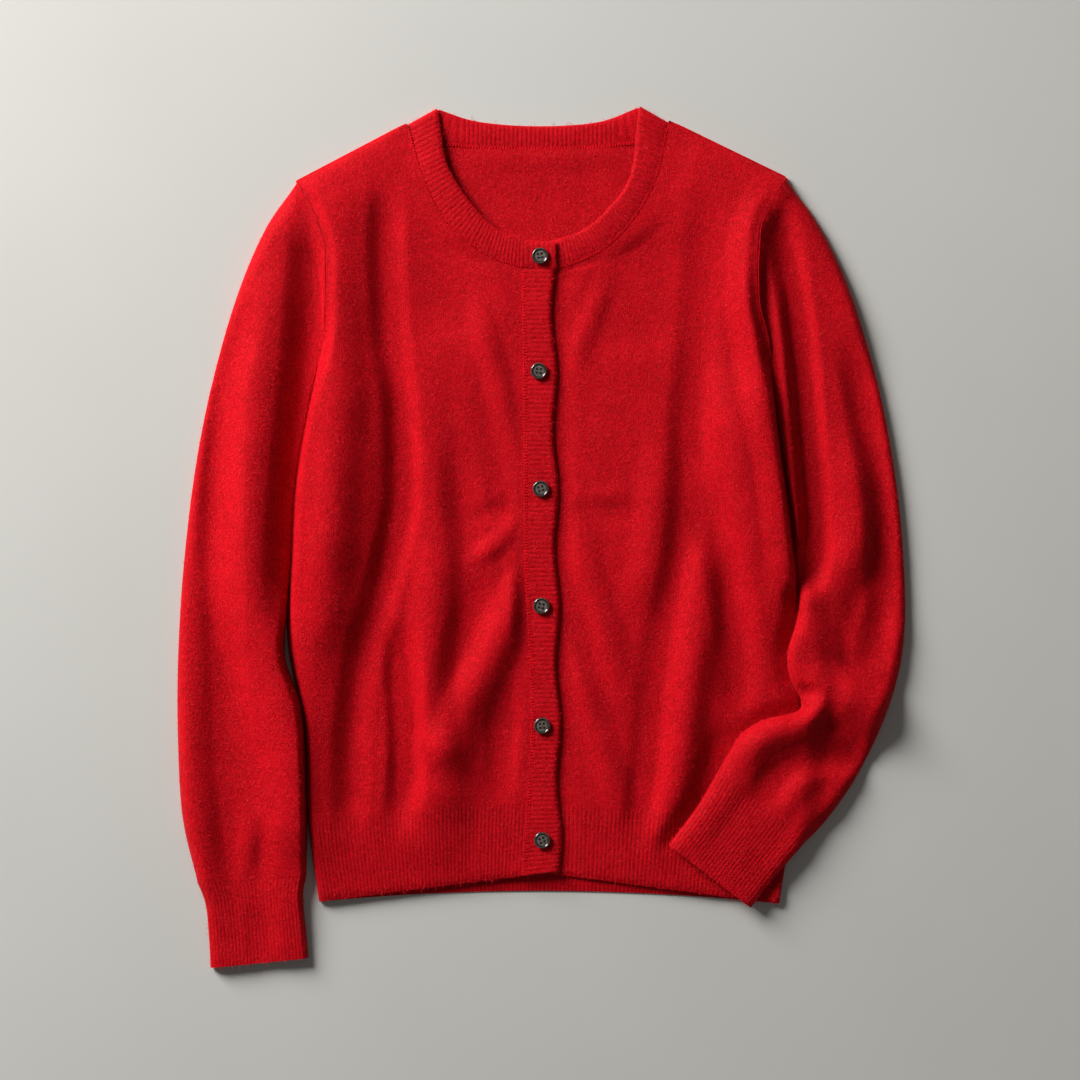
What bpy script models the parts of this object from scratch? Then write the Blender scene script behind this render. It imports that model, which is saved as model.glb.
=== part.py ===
"""Button cardigan, laid out flat on its back with one sleeve folded over its hem.

Sizes and places are in millimetres on the plan of the laid-out garment: x across it, y up towards the
neck, z up from the surface it lies on. "Right" and "left" are the wearer's, so the wearer's right is at -x.
Every cloth piece is a wall: a grid of points for its lower face, and the same grid moved out for its upper
face. Neighbours share the points of their seam, and the second piece of each pair stands SEAM_GAP off it.
"""

import math
from collections import namedtuple

import bmesh
import bpy
from mathutils import Vector

MM = 0.001

# Cloth
WALL = 1.8
SEAM_GAP = 0.45
ARMHOLE_GAP = 0.52
RIB_RISE = 0.6
FRONT_REST = 2.4  # lowest underside of a front, just clear of the back
FRONT_LIFT = 6.2  # its usual underside between folds
EDGE_ROLL = 13.0  # how far in a folded edge reaches its full height
BAND_COVERS = 10.0  # the flat strip of a front that runs along its button band
NECK_ROLL = 20.0

# Button bands and buttons
BAND_REST = 5.3  # underside of the buttonhole band, above the button band
BAND_RIB_PITCH = 3.5
BAND_FREE_X = 10.0  # the buttonhole band's free edge at its top
BAND_DRIFT = 5.0  # how much further over it lies at the hem
BAND_WAVE = 1.7  # how far the free edge springs out at each button, to each side of its mean
BAND_WAVE_CREST = 210.0  # y of its first crest
BAND_TOP_GAP = 0.8  # below the neckband
BAND_END_SLOPE = 3.0  # how much higher the free corner is than the seam corner, at the hem
BAND_END_STATIONS = 1 / 8  # share of the band over which that slope comes in
BUTTON_BAND_X = -12.4
BUTTON_PITCH = 87.2
BUTTON_DIAMETER = 12.5
BUTTON_THICKNESS = 2.6
BUTTON_GAP = 0.3
BUTTON_HOLE = 1.6
BUTTON_HOLES_APART = 2.9
BUTTON_SIDES = 18
HOLE_SIDES = 6
BUTTON_PLACES = ((-1.0, 210.0), (-2.0, 124.0), (-0.5, 36.0), (0.0, -51.5), (0.5, -141.0), (0.5, -226.5))

# Ribbed edges
HEM_RIBS = 57  # on each front
BACK_HEM_COLUMNS = 20
BACK_HEM_RISE = 8.5  # how much higher the back's hem is in the middle than at the sides
NECK_RIBS_PER_STEP = 5
BACK_NECK_RIBS_PER_STEP = 6
NECK_END_RIBS = 6  # from the right front's seam line to the neckband's upper end
NECK_UNDER_RIBS = 4  # and from the left front's to its lower end
NECK_EDGE_RISE = 0.6  # the neckband's free edge stands this much higher than its seam
NECK_END_RISE = 0.2  # and its upper end this much higher than the buttonhole band
TURNS = (0.2, 0.5, 0.8)  # points of the neckband's fold at a shoulder, in half turns
CUFF_RIBS = 28  # on its upper side
CUFF_UNDER_COLUMNS = 8

# Steps of the body's rows, counted from the hem
RIB_LINE = 2
UNDERARM = 12
NECK_BASE = 16
SHOULDER = 24
FRONT_COLUMNS = 26
BACK_SHOULDER_STEPS = 3

Row = namedtuple("Row", "steps side_x side_y side_z seam_x seam_y seam_z")
Free = namedtuple("Free", "steps x y")
Across = namedtuple("Across", "steps outer_x outer_y inner_x inner_y")
Fold = namedtuple("Fold", "name x0 y0 x1 y1 x2 y2 half_width height")
Cover = namedtuple("Cover", "x y reach")
Turned = namedtuple("Turned", "out up")

# A button's section, as shares of its radius and thickness, from the middle of its back round to its front
BUTTON_PROFILE = (
    Turned(0.0, 0.0),
    Turned(0.72, 0.0),
    Turned(1.0, 0.42),
    Turned(0.97, 0.8),
    Turned(0.84, 1.0),
    Turned(0.66, 0.62),
    Turned(0.0, 0.55),
)

# The fronts, a row for each section from the hem up. side_z and seam_z are the heights of the underside at
# the side or armhole, and at the button band or the neckband.
RIGHT_LOWER = (
    Row(0, -166, -273, 2.5, -13, -253.5, 5.3),
    Row(2, -174.5, -211, 2.5, -9.5, -197, 5.3),
    Row(2, -177.5, -139, 2.5, -6.5, -139, 5.3),
    Row(2, -188.5, -77, 2.5, -8.5, -77, 5.3),
    Row(2, -186.5, -14, 2.5, -11.5, -14, 5.3),
    Row(2, -182, 52, 2.5, -12, 52, 5.3),
    Row(2, -164.5, 140, 5.0, -12.5, 139, 5.3),
    Row(2, -161.5, 172, 7.5, -13, 170, 5.3),
    Row(2, -161, 202, 8.0, -13, 201, 5.3),
)
RIGHT_YOKE = (
    RIGHT_LOWER[-1]._replace(steps=0),
    Row(2, -161.5, 217, 7.6, -43, 212, 5.6),
    Row(2, -166, 233, 6.4, -71.5, 236, 6.2),
    Row(2, -173, 250, 4.4, -89.5, 271.5, 5.6),
    Row(2, -182, 266, 2.5, -100, 309, 3.0),
)
LEFT_LOWER = (
    Row(0, 177.5, -274.5, 2.5, 5.5, -252, 2.5),
    Row(2, 187, -211, 2.5, 5.5, -199.5, 2.5),
    Row(2, 192.5, -134, 2.5, 5.5, -137, 2.5),
    Row(2, 192.5, -71, 2.5, 5.5, -77, 2.5),
    Row(2, 189.5, -19, 2.5, 5.5, -16, 2.5),
    Row(2, 181, 52, 2.5, 5.5, 52, 2.5),
    Row(2, 168.5, 143, 5.0, 5.5, 139, 2.5),
    Row(2, 161.5, 172, 7.5, 5.5, 170, 2.5),
    Row(2, 160, 199.5, 8.5, 5.5, 199.5, 2.5),
)
LEFT_YOKE = (
    LEFT_LOWER[-1]._replace(steps=0),
    Row(2, 161, 217, 8.0, 38, 211, 4.2),
    Row(2, 163, 234, 6.8, 64, 232.5, 6.2),
    Row(2, 171.5, 250, 4.6, 84.5, 267, 5.6),
    Row(2, 182.5, 268, 2.5, 95, 310.5, 3.0),
)

# The neckband's free edge, from where each front's button band ends up to the shoulder fold
RIGHT_NECK_EDGE = (
    Free(0, -13, 221),
    Free(2, -35.5, 232),
    Free(2, -54.5, 252),
    Free(2, -71, 280.5),
    Free(2, -78.5, 321),
)
LEFT_NECK_EDGE = (
    Free(0, 5.5, 221.5),
    Free(2, 29.5, 229),
    Free(2, 49, 245),
    Free(2, 66.5, 271),
    Free(2, 74, 322.5),
)
RIGHT_BAND_END = ((10.5, 200.5), (10.5, 220.5))  # seam point and free point of the neckband's upper end
LEFT_BAND_END = ((-12.5, 200.5), (-13, 221))
BACK_SEAM = (
    Free(0, -101, 306.5),
    Free(2, -74, 294.5),
    Free(2, -7, 291),
    Free(2, 73, 295.5),
    Free(2, 96, 308),
)
BACK_FREE = (
    Free(0, -78.5, 321),
    Free(2, -48, 311.5),
    Free(2, -4, 308),
    Free(2, 42, 311),
    Free(2, 74, 322.5),
)

# The sleeves, a row for each section from the armhole down: the outer and the inner edge of the flat tube
RIGHT_SLEEVE = (
    Across(0, -182, 266, -164.5, 140),
    Across(2, -206.5, 231, -170, 112),
    Across(2, -228.5, 179, -178.5, 74),
    Across(2, -247, 114, -184.5, 28),
    Across(2, -259.5, 50, -187.5, -14),
    Across(2, -268, -21, -190.5, -56),
    Across(2, -272, -85, -191.5, -92),
    Across(2, -272.5, -143, -179.5, -137),
    Across(2, -269, -208.5, -175.5, -206),
    Across(2, -257.5, -259, -176, -253),
)
RIGHT_CUFF = (
    RIGHT_SLEEVE[-1]._replace(steps=0),
    Across(1, -251.5, -276, -178.5, -268.5),
    Across(1, -249, -302, -176, -298.5),
    Across(1, -248, -322.5, -174.5, -315),
)
LEFT_SLEEVE = (
    Across(0, 182.5, 268, 168.5, 143),
    Across(2, 206.5, 235, 173, 109),
    Across(2, 227.5, 193, 178.5, 73),
    Across(2, 245, 140, 184, 38),
    Across(2, 257.5, 89, 188.5, 10),
    Across(1, 266.5, 35, 192.5, -19),
    Across(1, 271, -13.5, 195, -45),
    Across(1, 272.5, -56, 190, -65),
    Across(1, 270.5, -85, 184, -86),
    Across(1, 266.5, -106, 185.5, -104),
    Across(1, 259, -130, 194, -122),
    Across(1, 249.5, -153, 191.5, -130),
    Across(1, 239.5, -173, 181, -133),
    Across(1, 230, -189, 165.5, -137),
    Across(1, 219.5, -204, 150.5, -146),
    Across(1, 209, -217, 141.5, -159),
    Across(1, 197.5, -228, 132.5, -174),
)
LEFT_CUFF = (
    LEFT_SLEEVE[-1]._replace(steps=0),
    Across(1, 180.5, -247, 116, -202),
    Across(1, 156.5, -277, 95, -230),
)
TUBE_ACROSS = (0.0, 0.1, 0.25, 0.42, 0.6, 0.78, 1.0)  # shares of the width at the armhole's points
TUBE_SPLITS = 3  # columns of a sleeve's upper side between two of them
SLEEVE_LIFT = 8.6  # top of a sleeve between folds, above what it lies on
SLEEVE_LEAST = 4.3  # and at its lowest
SLEEVE_ROLL = 12.0  # how far in its folded edge reaches that height
SLEEVE_EDGE = 2.2  # height of the folded edge's outermost point
EDGE_INSET = 0.45  # the inner face's edge stands this share of the wall above that
EDGE_STEP = 0.1  # the least that a tube's top stands above its edge
CUFF_LIFT = 6.6
SIDE_GAP = 0.9  # between a sleeve's inner edge and the body's side
ARMHOLE_REACH = 5  # sleeve sections over which the armhole's curve fades out

# Where the left forearm lies over the front: the middle line of what it covers, and its reach to each side
FOREARM_COVER = (
    Cover(222.5, -47, 40.5),
    Cover(222.5, -107, 40.5),
    Cover(198.5, -156, 45.0),
    Cover(177.5, -185, 46.5),
    Cover(139, -236, 46.5),
)
COVER_FADE = 18.0
FOREARM_REST = 5.7  # underside of the forearm where it lies on the front
CLIMB_TOP = -28.0  # the sleeve starts to climb on to the front at this y
CLIMB_LENGTH = 22.0
STEP_OFF_START = 7.0  # beyond the front's side, the underside stays up this far and then comes down
STEP_OFF_LENGTH = 20.0

RIGHT_FOLDS = (
    Fold("upper side crest", -149.5, 260, -152.5, 151.5, -166, 50, 16, 4.0),
    Fold("lower side crest", -166, 50, -168.5, -47, -157, -126, 15, 3.5),
    Fold("chest valley", -118, 253, -110.5, 118, -103, 28, 18, -3.0),
    Fold("long valley", -103, 35, -103, -77, -103, -208.5, 15, -3.7),
    Fold("side valley", -117.5, -40, -134.5, -115, -142, -197, 12, -3.5),
    Fold("middle crest", -86.5, 103, -80, -17, -82, -122, 14, 4.5),
    Fold("hem crest", -81.5, -115, -76, -160, -88, -242, 15, 5.0),
    Fold("inner valley", -68.5, 84, -55, 13, -48.5, -55, 14, -2.8),
    Fold("lower inner valley", -48.5, -47, -58, -88.5, -68.5, -118.5, 12, -2.5),
    Fold("slanting crest", -11, -28.5, -41, -96, -72.5, -156, 14, 4.0),
    Fold("slanting valley", -8.5, -66, -25, -122, -33.5, -193.5, 13, -3.0),
)
LEFT_FOLDS = (
    Fold("upper side crest", 167.5, 253, 156.5, 200, 161.5, 140, 18, 4.5),
    Fold("lower side crest", 161.5, 148, 173, 80, 182.5, 5, 16, 4.5),
    Fold("side swell", 149, 80, 160, 13, 165.5, -62, 22, 2.5),
    Fold("chest valley", 137.5, 253, 122.5, 185, 116.5, 125, 16, -3.0),
    Fold("middle valley", 116.5, 133, 111.5, 73, 113, 13, 14, -3.7),
    Fold("slanting valley", 111.5, 13, 102.5, -47, 88, -107, 13, -3.2),
    Fold("hem valley", 88, -100, 86, -152, 80, -208.5, 13, -3.7),
    Fold("middle crest", 92.5, 133, 90.5, 50, 80, -40, 14, 3.8),
    Fold("long crest", 124, -2, 116.5, -77, 107, -156, 14, 5.0),
    Fold("hem crest", 108.5, -148.5, 102.5, -190, 92.5, -238.5, 14, 4.5),
    Fold("outer valley", 128, 20, 143.5, -55, 148, -122, 14, -3.7),
    Fold("inner crest", 27.5, -6, 46, -58.5, 70, -122, 12, 2.3),
    Fold("low inner crest", 32.5, -77, 46, -137, 60.5, -197, 12, 2.2),
)
RIGHT_SLEEVE_FOLDS = (
    Fold("upper crest", -188.5, 241.5, -209.5, 151.5, -220, 50, 20, 5.5),
    Fold("middle crest", -220, 58, -226, -17, -209.5, -88.5, 18, 5.5),
    Fold("lower crest", -209.5, -81, -188.5, -133.5, -188, -190, 18, 5.0),
    Fold("cuff crest", -188, -182, -188, -227, -191, -259, 14, 3.0),
    Fold("upper inner valley", -176.5, 234, -177, 155, -181, 80, 15, -5.0),
    Fold("lower inner valley", -181, 88, -187, 13, -190, -77, 18, -6.0),
    Fold("outer valley", -235, 118, -242.5, 20, -239.5, -85, 13, -2.2),
    Fold("lower outer valley", -239.5, -77, -232, -137, -226, -197, 14, -2.5),
    Fold("armhole crest", -162, 240, -160, 190, -163, 146, 11, 4.0),
)
LEFT_SLEEVE_FOLDS = (
    Fold("upper crest", 194, 241.5, 213.5, 151.5, 227.5, 73, 14, 1.8),
    Fold("middle crest", 227.5, 80, 237.5, 28, 237.5, -17, 15, 5.0),
    Fold("elbow crest", 237.5, -10, 218, -51, 191.5, -85, 15, 4.0),
    Fold("upper inner valley", 181, 241.5, 194, 155, 203, 80, 15, -5.0),
    Fold("lower inner valley", 203, 88, 209, 28, 205, -40, 15, -5.5),
    Fold("outer valley", 222.5, 178, 237.5, 95, 251, 43, 11, -2.0),
    Fold("lower outer valley", 251, 50, 261.5, -10, 254, -66, 13, -3.0),
    Fold("elbow valley", 254, -62, 242.5, -83, 212.5, -85, 11, -3.5),
    Fold("armhole crest", 173, 249, 161, 208, 165, 155, 10, 4.5),
    Fold("forearm crest", 218, -118.5, 194, -135.5, 161.5, -146, 12, 5.0),
    Fold("lower forearm crest", 165.5, -143, 152, -166, 130, -197, 11, 4.0),
    Fold("forearm valley", 248, -156, 212.5, -165, 182.5, -171, 11, -3.0),
)

WOOL = (0.52, 0.006, 0.012)
BUTTON_GREY = (0.03, 0.03, 0.033)


# ------------------------------------------------------------------ curves and heights


def ease(share):
    """0 to 1 with level ends."""
    share = min(max(share, 0.0), 1.0)
    return share * share * (3.0 - 2.0 * share)


def roll(share):
    """0 to 1 as a rounded edge: steep at the start and level at the end."""
    share = min(max(share, 0.0), 1.0)
    return math.sqrt(1.0 - (1.0 - share) ** 2)


def mix(a, b, share):
    return a + (b - a) * share


def smooth_rows(table):
    """The table's rows as a smooth curve, with its first column giving the steps from the row before."""
    times = []
    for row in table:
        times.append((times[-1] if times else 0) + row.steps)
    rows = [row[1:] for row in table]
    slopes = []
    for k in range(len(rows)):
        before = max(k - 1, 0)
        after = min(k + 1, len(rows) - 1)
        span = times[after] - times[before]
        slopes.append([(b - a) / span for a, b in zip(rows[before], rows[after])])
    points = []
    for k in range(len(rows) - 1):
        span = times[k + 1] - times[k]
        for step in range(span):
            t = step / span
            points.append(
                [
                    (2 * t**3 - 3 * t**2 + 1) * a + (t**3 - 2 * t**2 + t) * span * da
                    + (3 * t**2 - 2 * t**3) * b + (t**3 - t**2) * span * db
                    for a, b, da, db in zip(rows[k], rows[k + 1], slopes[k], slopes[k + 1])
                ]
            )
    points.append(list(rows[-1]))
    return points


def body_rows(lower, yoke):
    """A front's rows, hem to shoulder. The armhole bends only where a sleeve's ring has a point."""
    rows = smooth_rows(lower)[:-1] + smooth_rows(yoke)
    rows = [dict(zip(Row._fields[1:], row)) for row in rows]
    for k in range(UNDERARM + 1, SHOULDER, 2):
        for key in ("side_x", "side_y"):
            rows[k][key] = (rows[k - 1][key] + rows[k + 1][key]) / 2
    return rows


def fold_line(fold):
    """Points along a fold, through its start, middle and end."""
    points = []
    for k in range(9):
        t = k / 8
        start, middle, end = (1 - t) * (1 - 2 * t), 4 * t * (1 - t), t * (2 * t - 1)
        points.append(
            (
                start * fold.x0 + middle * fold.x1 + end * fold.x2,
                start * fold.y0 + middle * fold.y1 + end * fold.y2,
            )
        )
    return points


def nearest_on(points, x, y):
    """(distance, share along) of the nearest point of a line of points."""
    best = (math.inf, 0.0)
    for k in range(len(points) - 1):
        ax, ay = points[k]
        dx, dy = points[k + 1][0] - ax, points[k + 1][1] - ay
        t = min(max(((x - ax) * dx + (y - ay) * dy) / (dx * dx + dy * dy), 0.0), 1.0)
        distance = math.hypot(x - ax - t * dx, y - ay - t * dy)
        best = min(best, (distance, (k + t) / (len(points) - 1)))
    return best


class Relief:
    """The height that a table of folds adds at a place on the plan."""

    def __init__(self, folds):
        self.folds = [(fold, fold_line(fold)) for fold in folds]

    def __call__(self, x, y):
        total = 0.0
        for fold, line in self.folds:
            distance, along = nearest_on(line, x, y)
            if distance < fold.half_width * 1.6:
                across = 1.0 - (distance / (fold.half_width * 1.6)) ** 2
                fade = ease(along / 0.2) * ease((1.0 - along) / 0.2)
                total += fold.height * across * across * fade
        return total


def covered(x, y):
    """1 where the forearm lies over the front, fading to 0 beside it."""
    best = 0.0
    for a, b in zip(FOREARM_COVER, FOREARM_COVER[1:]):
        distance, t = nearest_on([(a.x, a.y), (b.x, b.y)], x, y)
        best = max(best, 1.0 - ease((distance - mix(a.reach, b.reach, t)) / COVER_FADE))
    return best


RIGHT_ROWS = body_rows(RIGHT_LOWER, RIGHT_YOKE)
LEFT_ROWS = body_rows(LEFT_LOWER, LEFT_YOKE)
RIGHT_RELIEF = Relief(RIGHT_FOLDS)
LEFT_RELIEF = Relief(LEFT_FOLDS)


def row_point(row, share):
    return mix(row["side_x"], row["seam_x"], share), mix(row["side_y"], row["seam_y"], share)


def front_height(rows, relief, level, share):
    """Height of a front's underside at a share of the way from its side to its button band or neckband."""
    low = int(min(level, SHOULDER - 1))
    row = {key: mix(rows[low][key], rows[low + 1][key], level - low) for key in rows[low]}
    x, y = row_point(row, share)
    width = math.hypot(row["seam_x"] - row["side_x"], row["seam_y"] - row["side_y"])
    height = max(FRONT_LIFT + relief(x, y), FRONT_REST)
    height = mix(row["side_z"], height, roll(share * width / EDGE_ROLL))
    height = mix(row["seam_z"], height, ease(((1.0 - share) * width - BAND_COVERS) / NECK_ROLL))
    shoulder = rows[SHOULDER]
    distance, along = nearest_on([row_point(shoulder, 0.0), row_point(shoulder, 1.0)], x, y)
    height = mix(mix(shoulder["side_z"], shoulder["seam_z"], along), height, roll(distance / EDGE_ROLL))
    if rows is LEFT_ROWS:
        height = mix(height, FRONT_REST, covered(x, y))
    return max(height, FRONT_REST)


# ------------------------------------------------------------------ making objects


def material(name, colour, roughness):
    made = bpy.data.materials.new(name)
    made.use_nodes = True
    shader = made.node_tree.nodes["Principled BSDF"]
    shader.inputs["Base Color"].default_value = (*colour, 1.0)
    shader.inputs["Roughness"].default_value = roughness
    return made


def new_object(name, mesh, colour=WOOL, roughness=0.9):
    bmesh.ops.recalc_face_normals(mesh, faces=mesh.faces)
    if mesh.calc_volume(signed=True) < 0.0:
        bmesh.ops.reverse_faces(mesh, faces=mesh.faces)
    data = bpy.data.meshes.new(name)
    mesh.to_mesh(data)
    mesh.free()
    data.materials.append(material(name, colour, roughness))
    made = bpy.data.objects.new(name, data)
    bpy.context.scene.collection.objects.link(made)
    return made


def grid_index(vert, columns, rows):
    return round((vert.co.x + 1.0) / 2.0 * columns), round((vert.co.y + 1.0) / 2.0 * rows)


def sheet(name, columns, rows, point):
    """A wall of cloth. point(column, row, upper) gives each point of its two faces in millimetres."""
    mesh = bmesh.new()
    bmesh.ops.create_grid(mesh, x_segments=columns, y_segments=rows, size=1.0)
    under = list(mesh.verts)
    made = bmesh.ops.extrude_face_region(mesh, geom=list(mesh.faces))
    over = [item for item in made["geom"] if isinstance(item, bmesh.types.BMVert)]
    for verts, upper in ((under, False), (over, True)):
        for vert in verts:
            column, row = grid_index(vert, columns, rows)
            vert.co = Vector(point(column, row, upper)) * MM
    return new_object(name, mesh)


def tube(name, rings):
    """A tube's wall, from its rings: the outer ones from end to end, then the inner ones back."""
    mesh = bmesh.new()
    columns, rows = len(rings[0]), len(rings)
    bmesh.ops.create_grid(mesh, x_segments=columns, y_segments=rows, size=1.0)
    for vert in mesh.verts:
        column, row = grid_index(vert, columns, rows)
        vert.co = Vector(rings[row % rows][column % columns]) * MM
    bmesh.ops.remove_doubles(mesh, verts=mesh.verts, dist=1e-6)
    return new_object(name, mesh)


# ------------------------------------------------------------------ the body


def front(name, rows, relief):
    def point(column, row, upper):
        share = column / FRONT_COLUMNS
        level = RIB_LINE + row
        x, y = row_point(rows[level], share)
        z = front_height(rows, relief, level, share)
        return x, y, z + WALL * upper

    return sheet(name, FRONT_COLUMNS, SHOULDER - RIB_LINE, point)


def front_hem(name, rows, relief):
    """The ribbed hem of a front, with a rib at every second column of its upper face."""

    def point(column, row, upper):
        share = column / (2 * HEM_RIBS)
        x, y = row_point(rows[row], share)
        z = front_height(rows, relief, row, share)
        if row == RIB_LINE:
            y -= SEAM_GAP
        return x, y, z + upper * (WALL + RIB_RISE * (column % 2))

    return sheet(name, 2 * HEM_RIBS, RIB_LINE, point)


def back_top():
    """The back's upper edge: shoulder, neckline, shoulder."""
    right, left = RIGHT_ROWS[SHOULDER], LEFT_ROWS[SHOULDER]
    points = [row_point(right, k / BACK_SHOULDER_STEPS) for k in range(BACK_SHOULDER_STEPS)]
    points += smooth_rows(BACK_SEAM)
    points += [row_point(left, 1.0 - k / BACK_SHOULDER_STEPS) for k in range(1, BACK_SHOULDER_STEPS + 1)]
    return points


def back():
    top = back_top()
    columns = len(top) - 1
    first, last = top[0], top[-1]

    def point(column, row, upper):
        level = RIB_LINE + row
        right, left = RIGHT_ROWS[level], LEFT_ROWS[level]
        share = (top[column][0] - first[0]) / (last[0] - first[0])
        rise = top[column][1] - mix(first[1], last[1], share)
        x = mix(right["side_x"], left["side_x"], share)
        y = mix(right["side_y"], left["side_y"], share)
        y += rise * ease((level - UNDERARM) / (SHOULDER - UNDERARM))
        return x, y, WALL * upper

    return sheet("back", columns, SHOULDER - RIB_LINE, point)


def back_hem():
    def point(column, row, upper):
        right, left = RIGHT_ROWS[row], LEFT_ROWS[row]
        share = column / BACK_HEM_COLUMNS
        x = mix(right["side_x"], left["side_x"], share)
        y = mix(right["side_y"], left["side_y"], share)
        arch = 4.0 * share * (1.0 - share)
        y += BACK_HEM_RISE * arch * (1.0 - row / RIB_LINE)
        if row == RIB_LINE:
            y -= SEAM_GAP
        return x, y, WALL * upper

    return sheet("back_hem_rib", BACK_HEM_COLUMNS, RIB_LINE, point)


# ------------------------------------------------------------------ sleeves and cuffs


def side_at(rows, y):
    """x of the body's side at a height y, or of the hem's corner below it."""
    for low, high in zip(rows, rows[1:]):
        if low["side_y"] <= y <= high["side_y"]:
            return mix(low["side_x"], high["side_x"], (y - low["side_y"]) / (high["side_y"] - low["side_y"]))
    return rows[0]["side_x"]


def forearm_rest(x, y):
    """Height of what the left sleeve lies on: the surface, or the front once it has climbed on to it."""
    side_x = side_at(LEFT_ROWS, y)
    climb = ease((CLIMB_TOP - y) / CLIMB_LENGTH)
    return FOREARM_REST * climb * (1.0 - ease((x - side_x - STEP_OFF_START) / STEP_OFF_LENGTH))


def on_surface(_x, _y):
    return 0.0


def beside_body(rows, x, y):
    """Keeps a sleeve's inner edge just outside the body's side, until it has climbed on to the front."""
    if rows is LEFT_ROWS and y < CLIMB_TOP - CLIMB_LENGTH:
        return x
    side = side_at(rows, y)
    return max(x, side + SIDE_GAP) if side > 0 else min(x, side - SIDE_GAP)


def sections_of(table, armhole, rows):
    """For each section of a tube, a function from a share of its width, outer to inner, to a place."""
    made = []
    for k, (outer_x, outer_y, inner_x, inner_y) in enumerate(smooth_rows(table)):
        weight = 1.0 - ease(k / ARMHOLE_REACH) if armhole else 0.0
        outer, inner = (outer_x, outer_y), (inner_x, inner_y)
        if armhole:
            inner = (beside_body(rows, inner_x, inner_y), inner_y)
            if k == 0:
                outer, inner = armhole[0], armhole[-1]

        def place(share, outer=outer, inner=inner, weight=weight):
            x, y = mix(outer[0], inner[0], share), mix(outer[1], inner[1], share)
            if weight > 0.0:
                bend_x, bend_y = along_armhole(armhole, share)
                x += weight * (bend_x - mix(armhole[0][0], armhole[-1][0], share))
                y += weight * (bend_y - mix(armhole[0][1], armhole[-1][1], share))
            return x, y

        made.append(place)
    return made


def along_armhole(armhole, share):
    """The place at a share of the way down the armhole, where TUBE_ACROSS gives the shares of its points."""
    for k in range(len(TUBE_ACROSS) - 1):
        low, high = TUBE_ACROSS[k], TUBE_ACROSS[k + 1]
        if share <= high:
            t = (share - low) / (high - low)
            return mix(armhole[k][0], armhole[k + 1][0], t), mix(armhole[k][1], armhole[k + 1][1], t)
    return armhole[-1]


def armhole_of(rows):
    """The armhole's points from the shoulder down, with a seam gap away from the body."""
    away = math.copysign(ARMHOLE_GAP, rows[SHOULDER]["side_x"])
    return [(rows[k]["side_x"] + away, rows[k]["side_y"]) for k in range(SHOULDER, UNDERARM - 1, -2)]


def ring_shares(upper_shares, lower_shares):
    """(share across, whether on the upper side), once round: over from outer to inner, and back under."""
    over = [(share, True) for share in upper_shares]
    return over + [(share, False) for share in reversed(lower_shares[1:-1])]


def tube_ring(place, shares, inset, relief, rest, lift, ribbed=False):
    """One ring of a flat tube: its outer face at inset 0, its inner face at inset WALL."""
    start, end = place(0.0), place(1.0)
    width = math.hypot(end[0] - start[0], end[1] - start[1])
    ring = []
    for k, (share, upper) in enumerate(shares):
        kept = min(max(share, inset / width), 1.0 - inset / width)
        x, y = place(kept)
        base = rest(x, y)
        outer_gap, inner_gap = kept * width, (1.0 - kept) * width
        height = max(lift + relief(x, y), SLEEVE_LEAST)
        edge = SLEEVE_EDGE + inset * EDGE_INSET
        round_off = roll(outer_gap / SLEEVE_ROLL) * roll(inner_gap / SLEEVE_ROLL)
        if share in (0.0, 1.0):
            z = edge
        elif upper:
            z = max(mix(edge, height, round_off) - inset, edge + EDGE_STEP) + RIB_RISE * (ribbed and k % 2)
        else:
            z = inset
        ring.append((x, y, base + z))
    return ring


def sleeve(name, table, rows, relief, rest):
    armhole = armhole_of(rows)
    places = sections_of(table, armhole, rows)
    upper = []
    for low, high in zip(TUBE_ACROSS, TUBE_ACROSS[1:]):
        upper += [mix(low, high, k / TUBE_SPLITS) for k in range(TUBE_SPLITS)]
    upper.append(1.0)
    shares = ring_shares(upper, list(TUBE_ACROSS))
    outer = [tube_ring(place, shares, 0.0, relief, rest, SLEEVE_LIFT) for place in places]
    inner = [tube_ring(place, shares, WALL, relief, rest, SLEEVE_LIFT) for place in places]
    return tube(name, outer + inner[::-1])


def cuff(name, table, relief, rest):
    first, second = table[0], table[1]
    length = math.hypot(second.outer_x - first.outer_x, second.outer_y - first.outer_y)
    step = SEAM_GAP / length
    start = Across(0, *(mix(a, b, step) for a, b in zip(first[1:], second[1:])))
    places = sections_of((start,) + table[1:], None, None)
    columns = 2 * CUFF_RIBS
    upper = [k / columns for k in range(columns + 1)]
    lower = [k / CUFF_UNDER_COLUMNS for k in range(CUFF_UNDER_COLUMNS + 1)]
    shares = ring_shares(upper, lower)
    outer = [tube_ring(place, shares, 0.0, relief, rest, CUFF_LIFT, ribbed=True) for place in places]
    inner = [tube_ring(place, shares, WALL, relief, rest, CUFF_LIFT) for place in (places[0], places[-1])]
    return tube(name, outer + inner[::-1])


# ------------------------------------------------------------------ neckband, button bands and buttons


def outward(seam, free):
    """The direction on the plan in which the neckband folds over at a shoulder."""
    across_x, across_y = free[0] - seam[0], free[1] - seam[1]
    length = math.copysign(math.hypot(across_x, across_y), across_x)
    return -across_y / length, across_x / length


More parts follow.
